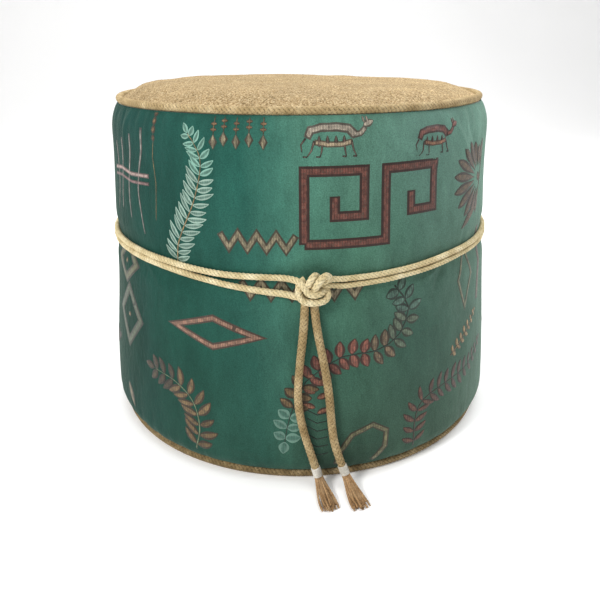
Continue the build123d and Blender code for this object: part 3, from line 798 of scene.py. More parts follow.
def tube_parts(path, radius, pattern, columns, pitch, depth, sides=20, step=0.00055, closed=False,
               wander=0.03, tone=1.0):
    """Points, faces, relief and length of a strand with a woven surface; radius in metres."""
    if closed:
        path = np.vstack([path, path[:1]])
    line, run = resample(path, step)
    if closed:
        line, run = line[:-1], run[:-1]
        pitch = (run[-1] + step) / round((run[-1] + step) / pitch)
    first, second = frames_along(line, closed)
    angle = np.linspace(0, TAU, sides, endpoint=False)[None]
    height = pattern(angle, run[:, None], columns, pitch)
    height = np.clip(height + rng.normal(0, 0.10, height.shape), 0, 1)
    if callable(radius):
        radius = radius(run)
    thick = np.broadcast_to(radius, run.shape) * (1 + wander * np.sin(run / 0.017 + rng.uniform(0, TAU))
                                                  * np.sin(run / 0.041))
    reach = thick[:, None] - depth * (1 - height)
    points = line[:, None] + reach[..., None] * (
        np.cos(angle)[..., None] * first[:, None] + np.sin(angle)[..., None] * second[:, None])
    count = len(line)
    faces = grid_faces(count, sides, True).tolist()
    if closed:
        seam = np.arange(sides)
        twist_back = closest_turn(points[-1], points[0])
        last = (count - 1) * sides
        beside = (seam + 1) % sides
        for a, b in zip(seam, beside):
            faces.append([last + int(a), last + int(b), int((b + twist_back) % sides),
                          int((a + twist_back) % sides)])
    else:
        faces.append([int(i) for i in range(sides)][::-1])
        faces.append([(count - 1) * sides + i for i in range(sides)])
    along = np.repeat(run / MM, sides) + np.tile(angle[0] * 0.35, count)
    return points.reshape(-1, 3), faces, height.ravel(), along, np.full(height.size, tone)


def closest_turn(ring, other):
    """Which point of another ring lies nearest to the first point of a ring."""
    return int(np.argmin(np.linalg.norm(other - ring[0], axis=1)))


def join_parts(parts):
    """One list of points, faces and values out of several tube_parts results."""
    faces = []
    offset = 0
    for part in parts:
        faces += [[i + offset for i in face] for face in part[1]]
        offset += len(part[0])
    relief, along, tone = (np.concatenate([part[k] for part in parts]) for k in (2, 3, 4))
    return np.vstack([part[0] for part in parts]), faces, {"relief": relief, "along": along, "tone": tone}


def strand_object(name, parts, material):
    points, faces, values = join_parts(parts)
    return new_object(name, points, faces, material, values=values)


# ---- the two tails, which hang from the knot and reach the floor ------------
TAIL_ROUTES = {
    "left": [
        (-8.0, -229.7, 197.0),
        (-9.0, -231.8, 172.0),
        (-13.5, -234.6, 136.0),
        (-16.5, -236.9, 100.0),
        (-12.5, -239.7, 70.0),
        (-4.2, -241.9, 40.5),
        (3.9, -244.8, 13.5),
    ],
    "right": [
        (0.6, -229.7, 197.0),
        (2.4, -231.8, 173.0),
        (9.0, -234.3, 140.0),
        (14.8, -236.7, 105.0),
        (17.0, -239.4, 74.0),
        (20.5, -242.0, 43.5),
        (31.4, -245.8, 15.5),
    ],
}
TASSEL_ENDS = {"left": (13.0, -281.0, 5.0), "right": (43.5, -281.0, 5.0)}
ROPE_RADIUS = 4.0
TAIL_CREST = 4.15            # to the tops of the braid
STRAND_RADIUS = 3.1
KNOT_ROPE_RADIUS = 3.55
WHIPPING_LENGTH = 0.010
WHIPPING_PITCH = 0.0011
TASSEL_YARNS = 27
GOLDEN_ANGLE = 2.39996


def bezier(corners, count):
    """Points of a cubic curve."""
    t = np.linspace(0, 1, count)[:, None]
    a, b, c, d = corners
    return a * (1 - t) ** 3 + 3 * b * t * (1 - t) ** 2 + 3 * c * t ** 2 * (1 - t) + d * t ** 3


def tassel_parts(start, heading, end):
    """Loose plied yarns that leave the end of a tail and lie down on the floor, fanned out."""
    across = np.cross(heading, end - start)
    across /= np.linalg.norm(across)
    forward = end - start
    forward[2] = 0
    forward /= np.linalg.norm(forward)
    flat = np.cross(forward, (0, 0, 1.0))
    over = np.cross(across, heading)
    parts = []
    for number in range(TASSEL_YARNS):
        turn = number * GOLDEN_ANGLE
        rank = math.sqrt((number + 0.5) / TASSEL_YARNS)
        side, rise = rank * math.cos(turn), rank * math.sin(turn)
        root = start + (across * side + over * rise) * 3.4 * MM - heading * 3 * MM
        long = rng.uniform(-5.0, 2.5) * MM
        tip = end + flat * side * rng.uniform(8.0, 9.5) * MM + forward * long
        tip[2] = (1.0 + 2.2 * (rise + 1) * rng.uniform(0.6, 1.1)) * MM
        knee = root + heading * rng.uniform(8.5, 11.5) * MM
        knee[2] = max(knee[2], 1.6 * MM)
        lean = tip - forward * 15 * MM + flat * rng.uniform(-2.2, 2.2) * MM
        lean[2] = tip[2] + rng.uniform(1.0, 4.0) * MM * (0.4 + 0.6 * (rise + 1) / 2)
        path = bezier((root, knee, lean, tip), 24)
        sway = np.sin(np.linspace(0, rng.uniform(2, 6), 24) + rng.uniform(0, TAU)) * 0.5 * MM
        path = path + flat * (sway * np.linspace(0, 1, 24))[:, None]
        path[:, 2] = np.maximum(path[:, 2], 0.95 * MM)
        thick = rng.uniform(0.85, 1.12) * MM
        parts.append(tube_parts(path, thick, twist, 2, 0.0034, 0.00026, sides=8, step=0.0008,
                                wander=0.08, tone=rng.uniform(0.72, 1.22)))
    return parts


def whipping_radius(run):
    """Fine turns of thread wound round the rope's end."""
    turns = np.abs(np.sin(run / WHIPPING_PITCH * math.pi)) ** 0.7
    return (4.45 + 0.42 * turns) * MM


def make_tail(side):
    controls = np.array(TAIL_ROUTES[side]) * MM
    path = spline_line(f"tail_line_{side}", controls)
    tail = strand_object(
        f"rope_tail_{side}",
        [tube_parts(path, TAIL_CREST * MM, braid, 4, 0.0046, 0.00075, sides=24, step=0.0005)],
        MATERIALS["rope_aged"])
    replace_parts(tail, f"tail_{side}")
    line, run = resample(path, 0.0005)
    last = line[run >= run[-1] - WHIPPING_LENGTH]
    sleeve = tube_parts(last, whipping_radius, twist, 1, WHIPPING_PITCH, 0.0001, sides=24, step=0.00018,
                        wander=0.0)
    band = strand_object(f"tail_whipping_{side}", [sleeve], MATERIALS["whipping"])
    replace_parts(band, f"whipping_{side}")
    heading = line[-1] - line[-4]
    heading /= np.linalg.norm(heading)
    yarns = tassel_parts(line[-1], heading, np.array(TASSEL_ENDS[side]) * MM)
    tassel = strand_object(f"tail_tassel_{side}", yarns, MATERIALS["tassel"])
    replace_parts(tassel, f"tassel_{side}")
    return tail, band, tassel, path


tails = {side: make_tail(side) for side in TAIL_ROUTES}


# ---- belt strands and knot --------------------------------------------------
STRAND_START = -6.5          # degrees, where a strand leaves the knot and where it comes back
STRAND_STOP = -355.0


def belt_strand(sign):
    """Control points in mm of one strand from the knot's left side round the back to its right."""
    places = []
    for azimuth in np.arange(STRAND_START, STRAND_STOP, -3.5):
        wrapped = (azimuth + 180) % 360 - 180
        height = float(belt_height(wrapped) + sign * keyed(SPREAD_KEYS, wrapped))
        wall = np.linalg.norm(side_point(np.radians(wrapped) * ARC_RADIUS, height, 0.0)[:2]) / MM
        near = max(0.0, 1 - abs(wrapped) / 14.0)
        reach = wall + STRAND_RADIUS - 0.2 + 3.6 * near ** 2
        turn = math.radians(wrapped)
        places.append((reach * math.sin(turn), -reach * math.cos(turn), height))
    return places


def strand_radius(run):
    """The rope is fullest in the knot and on its left, and thinner where it is pulled tight."""
    part = np.clip(run / max(run[-1], 1e-6), 0, 1)
    loose = np.exp(-(run / 0.035) ** 2)
    return (STRAND_RADIUS + 0.15 - 0.3 * part + 0.35 * loose) * MM


# Each knot path is x, depth in front of the back rope layer, and height above the knot's middle.
knot_low, knot_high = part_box("belt_knot")
KNOT_WALL = knot_high[1] / MM          # nearest to the pouf
KNOT_MIDDLE = (knot_low[2] + knot_high[2]) / 2 / MM
KNOT_PATHS = {
    "over": [(12.5, 3.5, -2.2), (9.0, 7.5, -3.2), (4.6, 12.3, -4.2), (-0.8, 13.4, -4.6),
             (-5.4, 13.2, -2.8), (-8.6, 12.0, 1.6), (-11.6, 10.2, 6.0), (-15.0, 7.5, 8.0)],
    "under": [(-5.0, 4.0, -9.5), (-10.0, 4.6, -9.4), (-15.5, 5.2, -9.2)],
    "band": [(10.5, 3.5, -1.0), (13.8, 6.2, -5.0), (12.4, 9.4, -10.2), (6.0, 11.6, -12.6),
             (-2.6, 12.2, -12.9), (-10.2, 11.2, -11.6), (-14.0, 9.2, -6.4), (-14.2, 7.2, 0.6),
             (-12.8, 4.8, 5.4), (-8.0, 3.8, 8.0)],
    "loop_low": [(-7.6, 5.0, -3.6), (-6.6, 8.6, 1.2), (-4.6, 11.6, 6.2), (-1.6, 10.6, 11.0),
                 (1.6, 6.4, 12.6), (3.8, 2.4, 9.4)],
    "loop_high": [(-1.6, 5.8, -5.2), (0.0, 10.8, -0.6), (2.4, 13.2, 4.4), (5.6, 12.8, 9.6),
                  (9.6, 10.2, 12.6), (13.6, 6.6, 11.6), (15.2, 3.4, 8.2)],
    "stub_left": [(-8.0, 4.2, -15.6), (-8.0, 4.4, -8.0), (-7.0, 4.6, 0.0)],
    "stub_right": [(0.6, 4.2, -15.6), (1.0, 4.6, -8.0), (2.6, 4.6, 1.0)],
    "join": [(15.6, 4.6, 1.8), (9.0, 5.4, 1.2), (3.0, 5.0, 2.0)],
    "join_high": [(15.6, 4.4, 8.0), (10.0, 6.6, 5.6), (5.0, 5.0, 3.0)],
}


def knot_points(name):
    return [(x, KNOT_WALL - depth, KNOT_MIDDLE + rise) for x, depth, rise in KNOT_PATHS[name]]


ROPE_LOOK = dict(columns=4, pitch=0.0044, depth=0.00072, sides=20)


def make_belt():
    for name, sign, entry, join in (("upper", 1, "over", "join_high"), ("lower", -1, "under", "join")):
        controls = knot_points(entry) + belt_strand(sign) + knot_points(join)
        path = spline_line(f"belt_line_{name}", np.array(controls) * MM)
        strand = strand_object(f"belt_{name}", [tube_parts(path, strand_radius, braid, **ROPE_LOOK)],
                               MATERIALS["rope"])
        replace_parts(strand, f"belt_rope_{name}")
    parts = []
    for name in ("band", "loop_low", "loop_high", "stub_left", "stub_right"):
        path = spline_line(f"knot_line_{name}", np.array(knot_points(name)) * MM)
        thick = (ROPE_RADIUS - 0.1 if name.startswith("stub") else KNOT_ROPE_RADIUS) * MM
        parts.append(tube_parts(path, thick, braid, **ROPE_LOOK))
    knot = strand_object("knot_ropes", parts, MATERIALS["rope"])
    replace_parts(knot, "belt_knot")
    return knot


knot_ropes = make_belt()


# ---- piping cords in the two seams ------------------------------------------
RING_POINTS = 1440


def ring_path(radius, height, lumps):
    """A ring of points in metres from a radius and height in mm, made a little uneven."""
    angle = np.linspace(0, TAU, RING_POINTS, endpoint=False)
    wobble = ring_noise(RING_POINTS, (2, 3, 5, 8), lumps)
    rise = ring_noise(RING_POINTS, (2, 4, 7, 11), lumps)
    return np.stack([
        (radius + wobble) * np.sin(angle), -(radius + wobble) * np.cos(angle), height + rise,
    ], 1) * MM


def make_piping(node, name, material, lumps, fuller=0.0):
    """The cord of a seam; fuller is how much it swells outwards and upwards, in metres."""
    low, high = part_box(node)
    radius = (high[2] - low[2]) / 2 + fuller
    ring = (high[0] - low[0]) / 2 - radius + 2 * fuller
    parts = tube_parts(ring_path(ring / MM, (low[2] + radius) / MM, lumps), radius, braid, 4, 0.0044, 0.0008,
                       sides=20, step=0.0006, closed=True, wander=0.0)
    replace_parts(strand_object(name, [parts], MATERIALS[material]), node)


make_piping("top_piping", "top_seam_cord", "piping", 0.35)
make_piping("base_piping", "base_seam_cord", "jute_piping", 0.0, fuller=0.7 * MM)


# ---- boucle top -------------------------------------------------------------
TOP_CELLS = 460
CROWN_CELLS = 64             # of the grid that is simulated
CROWN_TILT = 3.4             # how much higher the crown stands on the left


def disc_from_square(u, v):
    """Even mapping of a square from -1 to 1 onto the unit disc."""
    swap = np.abs(u) > np.abs(v)
    big = np.where(swap, u, v)
    small = np.where(swap, v, u)
    safe = np.where(big == 0, 1, big)
    turn = np.where(big == 0, 0, math.pi / 4 * small / safe)
    x = np.where(swap, big * np.cos(turn), big * np.sin(turn))
    y = np.where(swap, big * np.sin(turn), big * np.cos(turn))
    return x, y


def cell_noise(x, y, size):
    """Distance to the nearest of one random dot per cell, over the cell size."""
    table = rng.random((256, 256, 2))
    cx, cy = np.floor(x / size).astype(int), np.floor(y / size).astype(int)
    best = np.full(x.shape, 9.0)
    for dx in (-1, 0, 1):
        for dy in (-1, 0, 1):
            dots = table[(cx + dx) % 256, (cy + dy) % 256]
            away = np.hypot((cx + dx + dots[..., 0]) - x / size, (cy + dy + dots[..., 1]) - y / size)
            best = np.minimum(best, away)
    return best


def lattice_noise(x, y, size):
    """Smooth random heights from -1 to 1 on a lattice."""
    table = rng.uniform(-1, 1, (128, 128))
    gx, gy = x / size, y / size
    cx, cy = np.floor(gx).astype(int), np.floor(gy).astype(int)
    fx, fy = gx - cx, gy - cy
    fx, fy = fx * fx * (3 - 2 * fx), fy * fy * (3 - 2 * fy)
    near, far = (
        table[cx % 128, (cy + j) % 128] * (1 - fx) + table[(cx + 1) % 128, (cy + j) % 128] * fx
        for j in (0, 1)
    )
    return near * (1 - fy) + far * fy


def simulated_crown(cells):
    """Upward bulge in mm of the boucle on a coarse disc grid."""
    edge = CROWN_RADII[-1]
    u, v = np.meshgrid(np.linspace(-1, 1, cells), np.linspace(-1, 1, cells))
    x, y = disc_from_square(u, v)
    radius = np.hypot(x, y) * edge
    height = np.interp(radius, CROWN_RADII, CROWN_HEIGHTS) + rng.normal(0, 0.2, radius.shape)
    points = np.stack([x * edge, y * edge, height], -1).reshape(-1, 3) * MM
    upward = np.zeros_like(points)
    upward[:, 2] = 1
    pinned = (np.maximum(np.abs(u), np.abs(v)) > 0.999).ravel()
    moved = cloth_run(points, grid_faces(cells, cells), pinned, upward, 20, 3.0, 0.015)
    return (moved / MM).reshape(cells, cells)


def make_top():
    coarse = np.clip(simulated_crown(CROWN_CELLS), -1.5, 3.0)
    line = np.linspace(-1, 1, TOP_CELLS)
    coarse_line = np.linspace(-1, 1, CROWN_CELLS)
    fine = np.stack([np.interp(line, coarse_line, row) for row in coarse])
    fine = np.stack([np.interp(line, coarse_line, column) for column in fine.T]).T
    fine = smooth_rows(smooth_rows(fine, 3.0).T, 3.0).T
    u, v = np.meshgrid(line, line)
    x, y = disc_from_square(u, v)
    edge = CROWN_RADII[-1]
    radius = np.hypot(x, y)
    x, y = x * edge, y * edge
    height = np.interp(radius * edge, CROWN_RADII, CROWN_HEIGHTS)
    loops = 1 - np.clip(cell_noise(x, y, 2.3), 0, 1)
    knots = 1 - np.clip(cell_noise(x + 400, y + 400, 3.9), 0, 1)
    relief = np.clip(0.6 * loops + 0.4 * knots + 0.2 * lattice_noise(x, y, 1.3), 0, 1)
    soft = lattice_noise(x, y, 52.0) + 0.5 * lattice_noise(x, y, 24.0)
    soft = soft + CROWN_TILT * np.clip((40 - x) / 160, 0, 1)
    rim = np.clip((1 - radius) * edge / 24.0, 0, 1)
    rim = rim * rim * (3 - 2 * rim)
    turn = np.arctan2(x, -y)
    tucks = np.sin(turn * 41 + 2 * np.sin(turn * 5)) * np.exp(-((1 - radius) * edge / 10.0) ** 2)
    height = height + (CROWN_PUFF_SHARE * fine + soft) * rim + 0.9 * (relief - 0.55)
    height = height + 0.5 * tucks * np.minimum(1, rim * 4)
    points = np.stack([x, y, height], -1).reshape(-1, 3) * MM
    top = new_object("top_cover", points, grid_faces(TOP_CELLS, TOP_CELLS), MATERIALS["boucle"],
                     values={"relief": relief.ravel()})
    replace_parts(top, "top_panel")
    return top


top_cover = make_top()

# ---- woven motifs -----------------------------------------------------------
# Generic sprigs, ferns, a running key, chevrons, diamonds and grazing animals, drawn in mm of arc
# from the knot and of height.
THREAD_LIFT = 0.30
STROKE_STEP = 2.5
SPANS = 6
LANE = np.array([-1.0, -0.66, 0.0, 0.66, 1.0])
SILVER = srgb("8ea89b")
MINT = srgb("7aa596")
BRONZE = srgb("7d6042")
GOLD = srgb("a48a5c")
MAROON = srgb("6c4036")
TAUPE = srgb("857a62")
OLIVE = srgb("6f7052")
PINK = srgb("b59a92")
ROSE = srgb("97725f")


class Patches:
    """Raised patches of thread, gathered into one mesh on the velvet."""

    def __init__(self):
        self.points, self.faces, self.rim, self.tint, self.cloth, self.pale = [], [], [], [], [], []
        self.count = 0
        self.shift = 0.0
        self.light_edge = 0.0

    def strip(self, arc, height, rim, tint):
        """A grid of points, rows along a stroke and columns across it."""
        rows, columns = arc.shape
        arc = arc + self.shift
        raised = 0.02 + THREAD_LIFT * np.clip((1 - rim) * 2.5, 0, 1)
        height = np.clip(height, SEAM_BASE + 1.5, SEAM_TOP - 1.5)
        self.points.append(side_point(arc, height, raised).reshape(-1, 3))
        self.faces.append(grid_faces(rows, columns, offset=self.count))
        self.rim.append(rim.ravel())
        tone = rng.uniform(0.88, 1.12)
        self.tint.append(np.tile(np.array(tint) * tone, (rows * columns, 1)))
        self.cloth.append(np.stack([arc, height, 0 * arc], -1).reshape(-1, 3))
        self.pale.append(np.full(rows * columns, self.light_edge))
        self.count += rows * columns

    def stroke(self, corners, width, tint, ends=(1.0, 1.0)):
        """A band of even width along a bent line, with mitred corners."""
        corners = np.array(corners, dtype=float)
        heading = np.diff(corners, axis=0)
        heading /= np.linalg.norm(heading, axis=1)[:, None]
        side = np.stack([-heading[:, 1], heading[:, 0]], 1)
        miter = [side[0]]
        for before, after in zip(side, side[1:]):
            both = before + after
            both /= max(np.linalg.norm(both), 1e-6)
            miter.append(both / max(0.35, both.dot(before)))
        miter.append(side[-1])
        rows, across, ranks = [], [], []
        total = np.linalg.norm(np.diff(corners, axis=0), axis=1)
        run = 0.0
        for i, size in enumerate(total):
            pieces = max(1, int(round(size / STROKE_STEP)))
            last = pieces + (1 if i == len(total) - 1 else 0)
            for k in range(last):
                t = k / pieces
                rows.append(corners[i] * (1 - t) + corners[i + 1] * t)
                across.append(miter[i] * (1 - t) + miter[i + 1] * t)
                ranks.append((run + t * size) / total.sum())
            run += size
        rows, across, ranks = np.array(rows), np.array(across), np.array(ranks)
        thick = np.interp(ranks, (0, 1), ends) * width / 2
        lane = np.array([-1.0, -0.72, -0.3, 0.3, 0.72, 1.0])
        grid = rows[:, None] + across[:, None] * (thick[:, None] * lane[None])[..., None]
        rim = np.broadcast_to(np.abs(lane)[None], grid.shape[:2]).copy()
        rim[0] = rim[-1] = 1.0
        self.strip(grid[..., 0], grid[..., 1], rim, tint)

    def leaf(self, base, angle, length, width, tint, curve=0.0, point=0.9, diamond=False):
        """A leaf or a diamond from its base along an angle in degrees, 90 upwards."""
        t = np.linspace(0, 1, 9)
        turn = math.radians(angle) + curve * (t - 0.2)
        dx, dy = np.cos(turn), np.sin(turn)
        step = length / 8
        x = base[0] + np.concatenate([[0], np.cumsum(dx[:-1])]) * step
        y = base[1] + np.concatenate([[0], np.cumsum(dy[:-1])]) * step
        swell = np.sin(math.pi * np.clip(t, 0.02, 0.98) ** point) ** 0.75
        if diamond:
            swell = np.clip(1 - np.abs(2 * t - 1), 0.03, 1)
        half = width / 2 * swell
        arc = x[:, None] - dy[:, None] * half[:, None] * LANE
        height = y[:, None] + dx[:, None] * half[:, None] * LANE
        rim = np.broadcast_to(np.abs(LANE)[None], arc.shape).copy()
        rim[0] = rim[-1] = 1.0
        self.strip(arc, height, rim, tint)

    def disc(self, centre, radius, tint, squash=1.0):
        """A filled oval."""
        t = np.linspace(-0.98, 0.98, 9)
        half = np.sqrt(1 - t ** 2)
        arc = centre[0] + t[:, None] * radius + 0 * LANE
        height = centre[1] + half[:, None] * LANE * radius * squash
        rim = np.maximum(np.abs(LANE)[None], np.abs(t)[:, None])
        self.strip(arc, height, rim, tint)

    def fern(self, stem, pairs, length, width, tints, stem_tint, lean, low=0.55, top=0.45, curl=0.5,
             light_from=2.0):
        """A stem with pairs of leaves whose tints run along it; past light_from their edges are pale."""
        stem = np.array(stem, dtype=float)
        line = np.stack([smooth_line(stem[:, 0]), smooth_line(stem[:, 1])], 1)
        self.stroke(line[:: max(1, len(line) // 14)], 1.6, stem_tint, ends=(1.2, 0.5))
        run = np.concatenate([[0], np.cumsum(np.linalg.norm(np.diff(line, axis=0), axis=1))])
        for i in range(pairs):
            part = (i + 0.6) / pairs
            place = np.array([np.interp(part * run[-1], run, line[:, k]) for k in (0, 1)])
            ahead, back = (np.array([np.interp(spot * run[-1], run, line[:, k]) for k in (0, 1)])
                           for spot in (min(part + 0.04, 1), max(part - 0.04, 0)))
            way = math.degrees(math.atan2(*(ahead - back)[::-1]))
            size = low + (1 - low) * math.sin(math.pi * min(1, part * 1.15 + 0.12)) if part < 0.5 else (
                top + (1 - top) * math.sin(math.pi * min(1, part * 0.9 + 0.12)))
            self.light_edge = 1.0 if part > light_from else 0.0
            tint = tints[min(len(tints) - 1, int(part * len(tints)))]
            for sign in (1, -1):
                angle = way + sign * (lean + rng.uniform(-5, 5))
                long = length * size * rng.uniform(0.9, 1.1)
                self.leaf(place, angle, long, width * rng.uniform(0.88, 1.12), tint, curve=-sign * curl)
        self.leaf(line[-1], way, length * top, width, tint)
        self.light_edge = 0.0

    def beast(self, place, size, tint, belly, leg_tint):
        """A plain grazing animal: rounded body with a paler belly, neck and head, legs and tail."""

        def at(a, b):
            return place[0] + a * size, place[1] + b * size

        def line(points, width, colour, ends=(1.0, 1.0)):
            self.stroke([at(a, b) for a, b in points], width * size, colour, ends)

        for a, lean in ((-17, -6), (-10, -2), (8, 2), (14, 5)):
            line([(a, -4), (a + lean * 0.4, -12), (a + lean, -17)], 1.7, leg_tint, (1.3, 0.6))
            line([(a + lean, -17), (a + lean - 3.5, -16.6)], 1.4, leg_tint)
        line([(-23, -2), (-20, 4), (-12, 6), (2, 6.5), (12, 5), (18, -1)], 11, tint, (0.6, 0.7))
        line([(-17, -5), (-6, -7), (6, -7), (15, -5)], 8, belly, (0.6, 0.6))
        line([(16, 0), (22, 1), (27, 6)], 5.0, tint, (1.1, 0.8))
        self.leaf(at(25, 7), 20, 10 * size, 6 * size, tint)
        for a, b in ((26, 9), (29, 9.5)):
            self.leaf(at(a, b), 100, 5.5 * size, 2.2 * size, tint)
        line([(-24, -2), (-28, -7), (-27, -13)], 1.4, leg_tint, (1.3, 0.6))
        for a in (-13, -6, 1, 8):
            self.leaf(at(a, -9), 90, 9 * size, 3.4 * size, leg_tint)

    def finish(self, name):
        return new_object(name, np.vstack(self.points), np.vstack(self.faces), MATERIALS["motif"],
                          values={"rim": np.concatenate(self.rim), "tint": np.vstack(self.tint),
                                  "cloth": np.vstack(self.cloth), "pale": np.concatenate(self.pale)})


def smooth_line(values):
    """A Catmull-Rom line through values, with SPANS samples for each gap."""
    p = np.concatenate([[2 * values[0] - values[1]], values, [2 * values[-1] - values[-2]]])
    out = []
    for a, b, c, d in zip(p, p[1:], p[2:], p[3:]):
        for t in np.arange(SPANS) / SPANS:
            out.append(0.5 * (2 * b + (c - a) * t + (2 * a - 5 * b + 4 * c - d) * t ** 2
                              + (3 * b - a - 3 * c + d) * t ** 3))
    out.append(values[-1])
    return np.array(out)


def arc_of(azimuth):
    return math.radians(azimuth) * ARC_RADIUS


def path_of(*places):
    """Corner points in mm from azimuths in degrees and heights in mm."""
    return [(arc_of(azimuth), height) for azimuth, height in places]


def key_band(p, left, base, pitch, tall, width, tint):
    """A plain running key: two hooked turns of a meander that stand on one base line."""
    hook = ((0, 0), (0, 1), (0.72, 1), (0.72, 0.38), (0.36, 0.38), (0.36, 0.66))
    for turn in (0, 1):
        steps = [(0, 0)] * turn + [(a + turn, b) for a, b in hook]
        p.stroke([(left + pitch * a, base + tall * b) for a, b in steps], width, tint)


def zigzag(p, start, stop, middle, swing, count, width, tint):
    """A regular chevron band between two azimuths."""
    azimuths = enumerate(np.linspace(start, stop, count))
    p.stroke(path_of(*[(azimuth, middle + swing * (-1) ** k) for k, azimuth in azimuths]), width, tint)


def lozenge(p, azimuth, middle, half_width, half_height, width, tint):
    """The outline of a diamond, closed in the middle of one edge."""
    corners = ((0.5, 0.5), (0, 1), (-1, 0), (0, -1), (1, 0), (0.5, 0.5))
    x = arc_of(azimuth)
    p.stroke([(x + half_width * a, middle + half_height * b) for a, b in corners], width, tint)


def draw_upper(p):
    """Motifs between the belt and the top seam."""
    for height, size in ((368, 3.4), (360, 3.0), (352, 3.2), (344, 2.6)):
        p.disc((arc_of(-43.2), height), size, BRONZE, 1.25)
    p.stroke(path_of((-43.2, 341), (-43.9, 325), (-43.0, 300), (-43.4, 262)), 0.9, GOLD)
    p.fern(path_of((-36.9, 222), (-34.8, 250), (-30.0, 290), (-27.9, 328), (-31.4, 352)), 18, 21.0, 5.6,
           [SILVER, SILVER, MINT], GOLD, lean=64, low=0.75, top=0.5, light_from=-1.0)
    for azimuth, drop in ((-24.2, 338), (-21.4, 341), (-18.2, 339), (-15.0, 341), (-11.6, 339)):
        p.stroke(path_of((azimuth, 368), (azimuth, drop + 14)), 1.0, BRONZE)
        p.leaf((arc_of(azimuth), drop + 14), -90, 14.0, 9.0, TAUPE, diamond=True)
        for rise in (18, 23):
            p.leaf((arc_of(azimuth) - 3.2, drop + rise), 0, 6.4, 3.4, BRONZE)
    p.beast((arc_of(5.2), 352), 1.12, srgb("a79c8c"), srgb("b9a78a"), srgb("6d5a50"))
    p.beast((arc_of(33.6), 346), 1.0, srgb("7d4c42"), srgb("93694f"), srgb("4c2f29"))
    key_band(p, -8, 252, 80, 68, 10.0, MAROON)
    zigzag(p, -23.0, -4.0, 254, 7, 9, 7.0, TAUPE)


def draw_lower(p):
    """Motifs between the belt and the base seam."""
    zigzag(p, -18.0, 13.0, 207, 7, 13, 7.0, TAUPE)
    lozenge(p, -25.5, 158, 46, 15, 7.4, ROSE)
    p.fern(path_of((-31.0, 22), (-29.6, 50), (-31.6, 78), (-37.4, 94), (-45.4, 99)), 10, 22.0, 9.4,
           [srgb("6d5638"), srgb("7b6343"), srgb("4c3e2d")], srgb("7d8f6c"), lean=66, low=0.9, top=0.7)
    p.fern(path_of((21.4, 204), (25.2, 180), (22.6, 153), (15.7, 140), (7.2, 138), (-1.9, 114), (-5.8, 76),
                   (-7.1, 48)), 20, 17.0, 10.5,
           [srgb("557466"), srgb("62705c"), srgb("77654f"), srgb("8a5446"), srgb("7d4a3e"), srgb("6d5638"),
            srgb("5f8274")],
           srgb("2c3a30"), lean=-104, low=0.9, top=0.8, curl=0.2, light_from=0.84)
    for k in range(6):
        p.stroke(path_of((-1.6, 84 - 9 * k), (0.8, 78 - 9 * k), (3.4, 80 - 9 * k)), 1.1, srgb("1f2f28"))
    for k in range(3):
        p.leaf((arc_of(0.4), 118 - 16 * k), 158, 13.0, 7.0, srgb("8a5a44"))
        p.leaf((arc_of(0.8), 112 - 16 * k), 22, 13.0, 7.0, srgb("8a5a44"))
    p.fern(path_of((27.2, 20), (27.4, 52), (30.0, 72), (38.0, 80), (50.0, 84), (60.0, 98)), 15, 18.0, 7.0,
           [srgb("664232"), srgb("5a3d31"), srgb("4a3729")], srgb("3c2f26"), lean=68, low=0.85, top=0.45)
    p.stroke(path_of((5.6, 18), (6.6, 36), (9.6, 52), (15.0, 60), (18.8, 50), (18.4, 32), (15.0, 17)), 6.4,
             srgb("6f6a4c"))


def draw_edges(p):
    """Motifs that stand at the two sides of the front run only."""
    bars = ((-66, 258, 332, 3), (-61.5, 262, 338, 2), (-56, 256, 344, 3), (-50, 244, 352, 4))
    for azimuth, low, high, sway in bars:
        heights = np.linspace(low, high, 6)
        bend = smooth_line(azimuth + 0.35 * sway * np.sin(heights / 17.0 + azimuth))
        p.stroke(path_of(*zip(bend, smooth_line(heights))), 4.0, srgb("95918a"), (0.5, 1.0))
    p.stroke(path_of((-69, 303), (-62, 306), (-55, 303), (-46, 305)), 4.6, PINK)
    p.stroke(path_of((-69, 296), (-62, 298), (-55, 295), (-46, 297)), 3.6, srgb("8f6f6c"))
    for turn in range(70, 262, 17):
        aim = math.radians(turn)
        reach = 22.0 + 26.0 * abs(math.cos(aim))
        base = (arc_of(57.0) + 13.0 * math.cos(aim), 293 + 11.0 * math.sin(aim))
        p.leaf(base, turn, reach, 11.0, srgb("63513d"), point=1.5)
    p.stroke(path_of((60.5, 318), (58.6, 290), (55.5, 264), (49.5, 252)), 2.2, BRONZE)
    p.disc((arc_of(57.2), 293), 5.0, BRONZE)
    for k in range(5):
        p.leaf((arc_of(55.0 - 0.9 * k), 262 - 1.5 * k), 190 + 4 * k, 26.0, 6.0, srgb("5b4836"))
    lozenge(p, -61.5, 203, 26, 20, 10.0, OLIVE)
    lozenge(p, -59.5, 142, 28, 32, 10.0, srgb("5c6650"))
    for azimuth, height in ((-61.5, 203), (-59.5, 142)):
        p.disc((arc_of(azimuth), height), 3.0, GOLD)
    p.leaf((arc_of(-61.0), 56), -62, 30.0, 12.0, TAUPE)
    lozenge(p, 49.4, 188, 16, 34, 4.6, OLIVE)
    p.stroke(path_of((60.0, 236), (60.6, 190), (59.0, 150)), 9.0, srgb("6f604c"))
    p.fern(path_of((41.0, 108), (47.0, 120), (56.0, 140)), 7, 9.0, 6.0, [GOLD, GOLD], BRONZE, lean=72)


# Degrees round the pouf of each run of motifs: the front one has edge motifs, the others don't.
RUN_SHIFTS = (0.0, 122.0, -131.0)


def make_motifs():
    patches = Patches()
    for shift in RUN_SHIFTS:
        patches.shift = arc_of(shift)
        draw_upper(patches)
        draw_lower(patches)
        if shift == 0.0:
            draw_edges(patches)
    return patches.finish("side_motifs")


side_motifs = make_motifs()


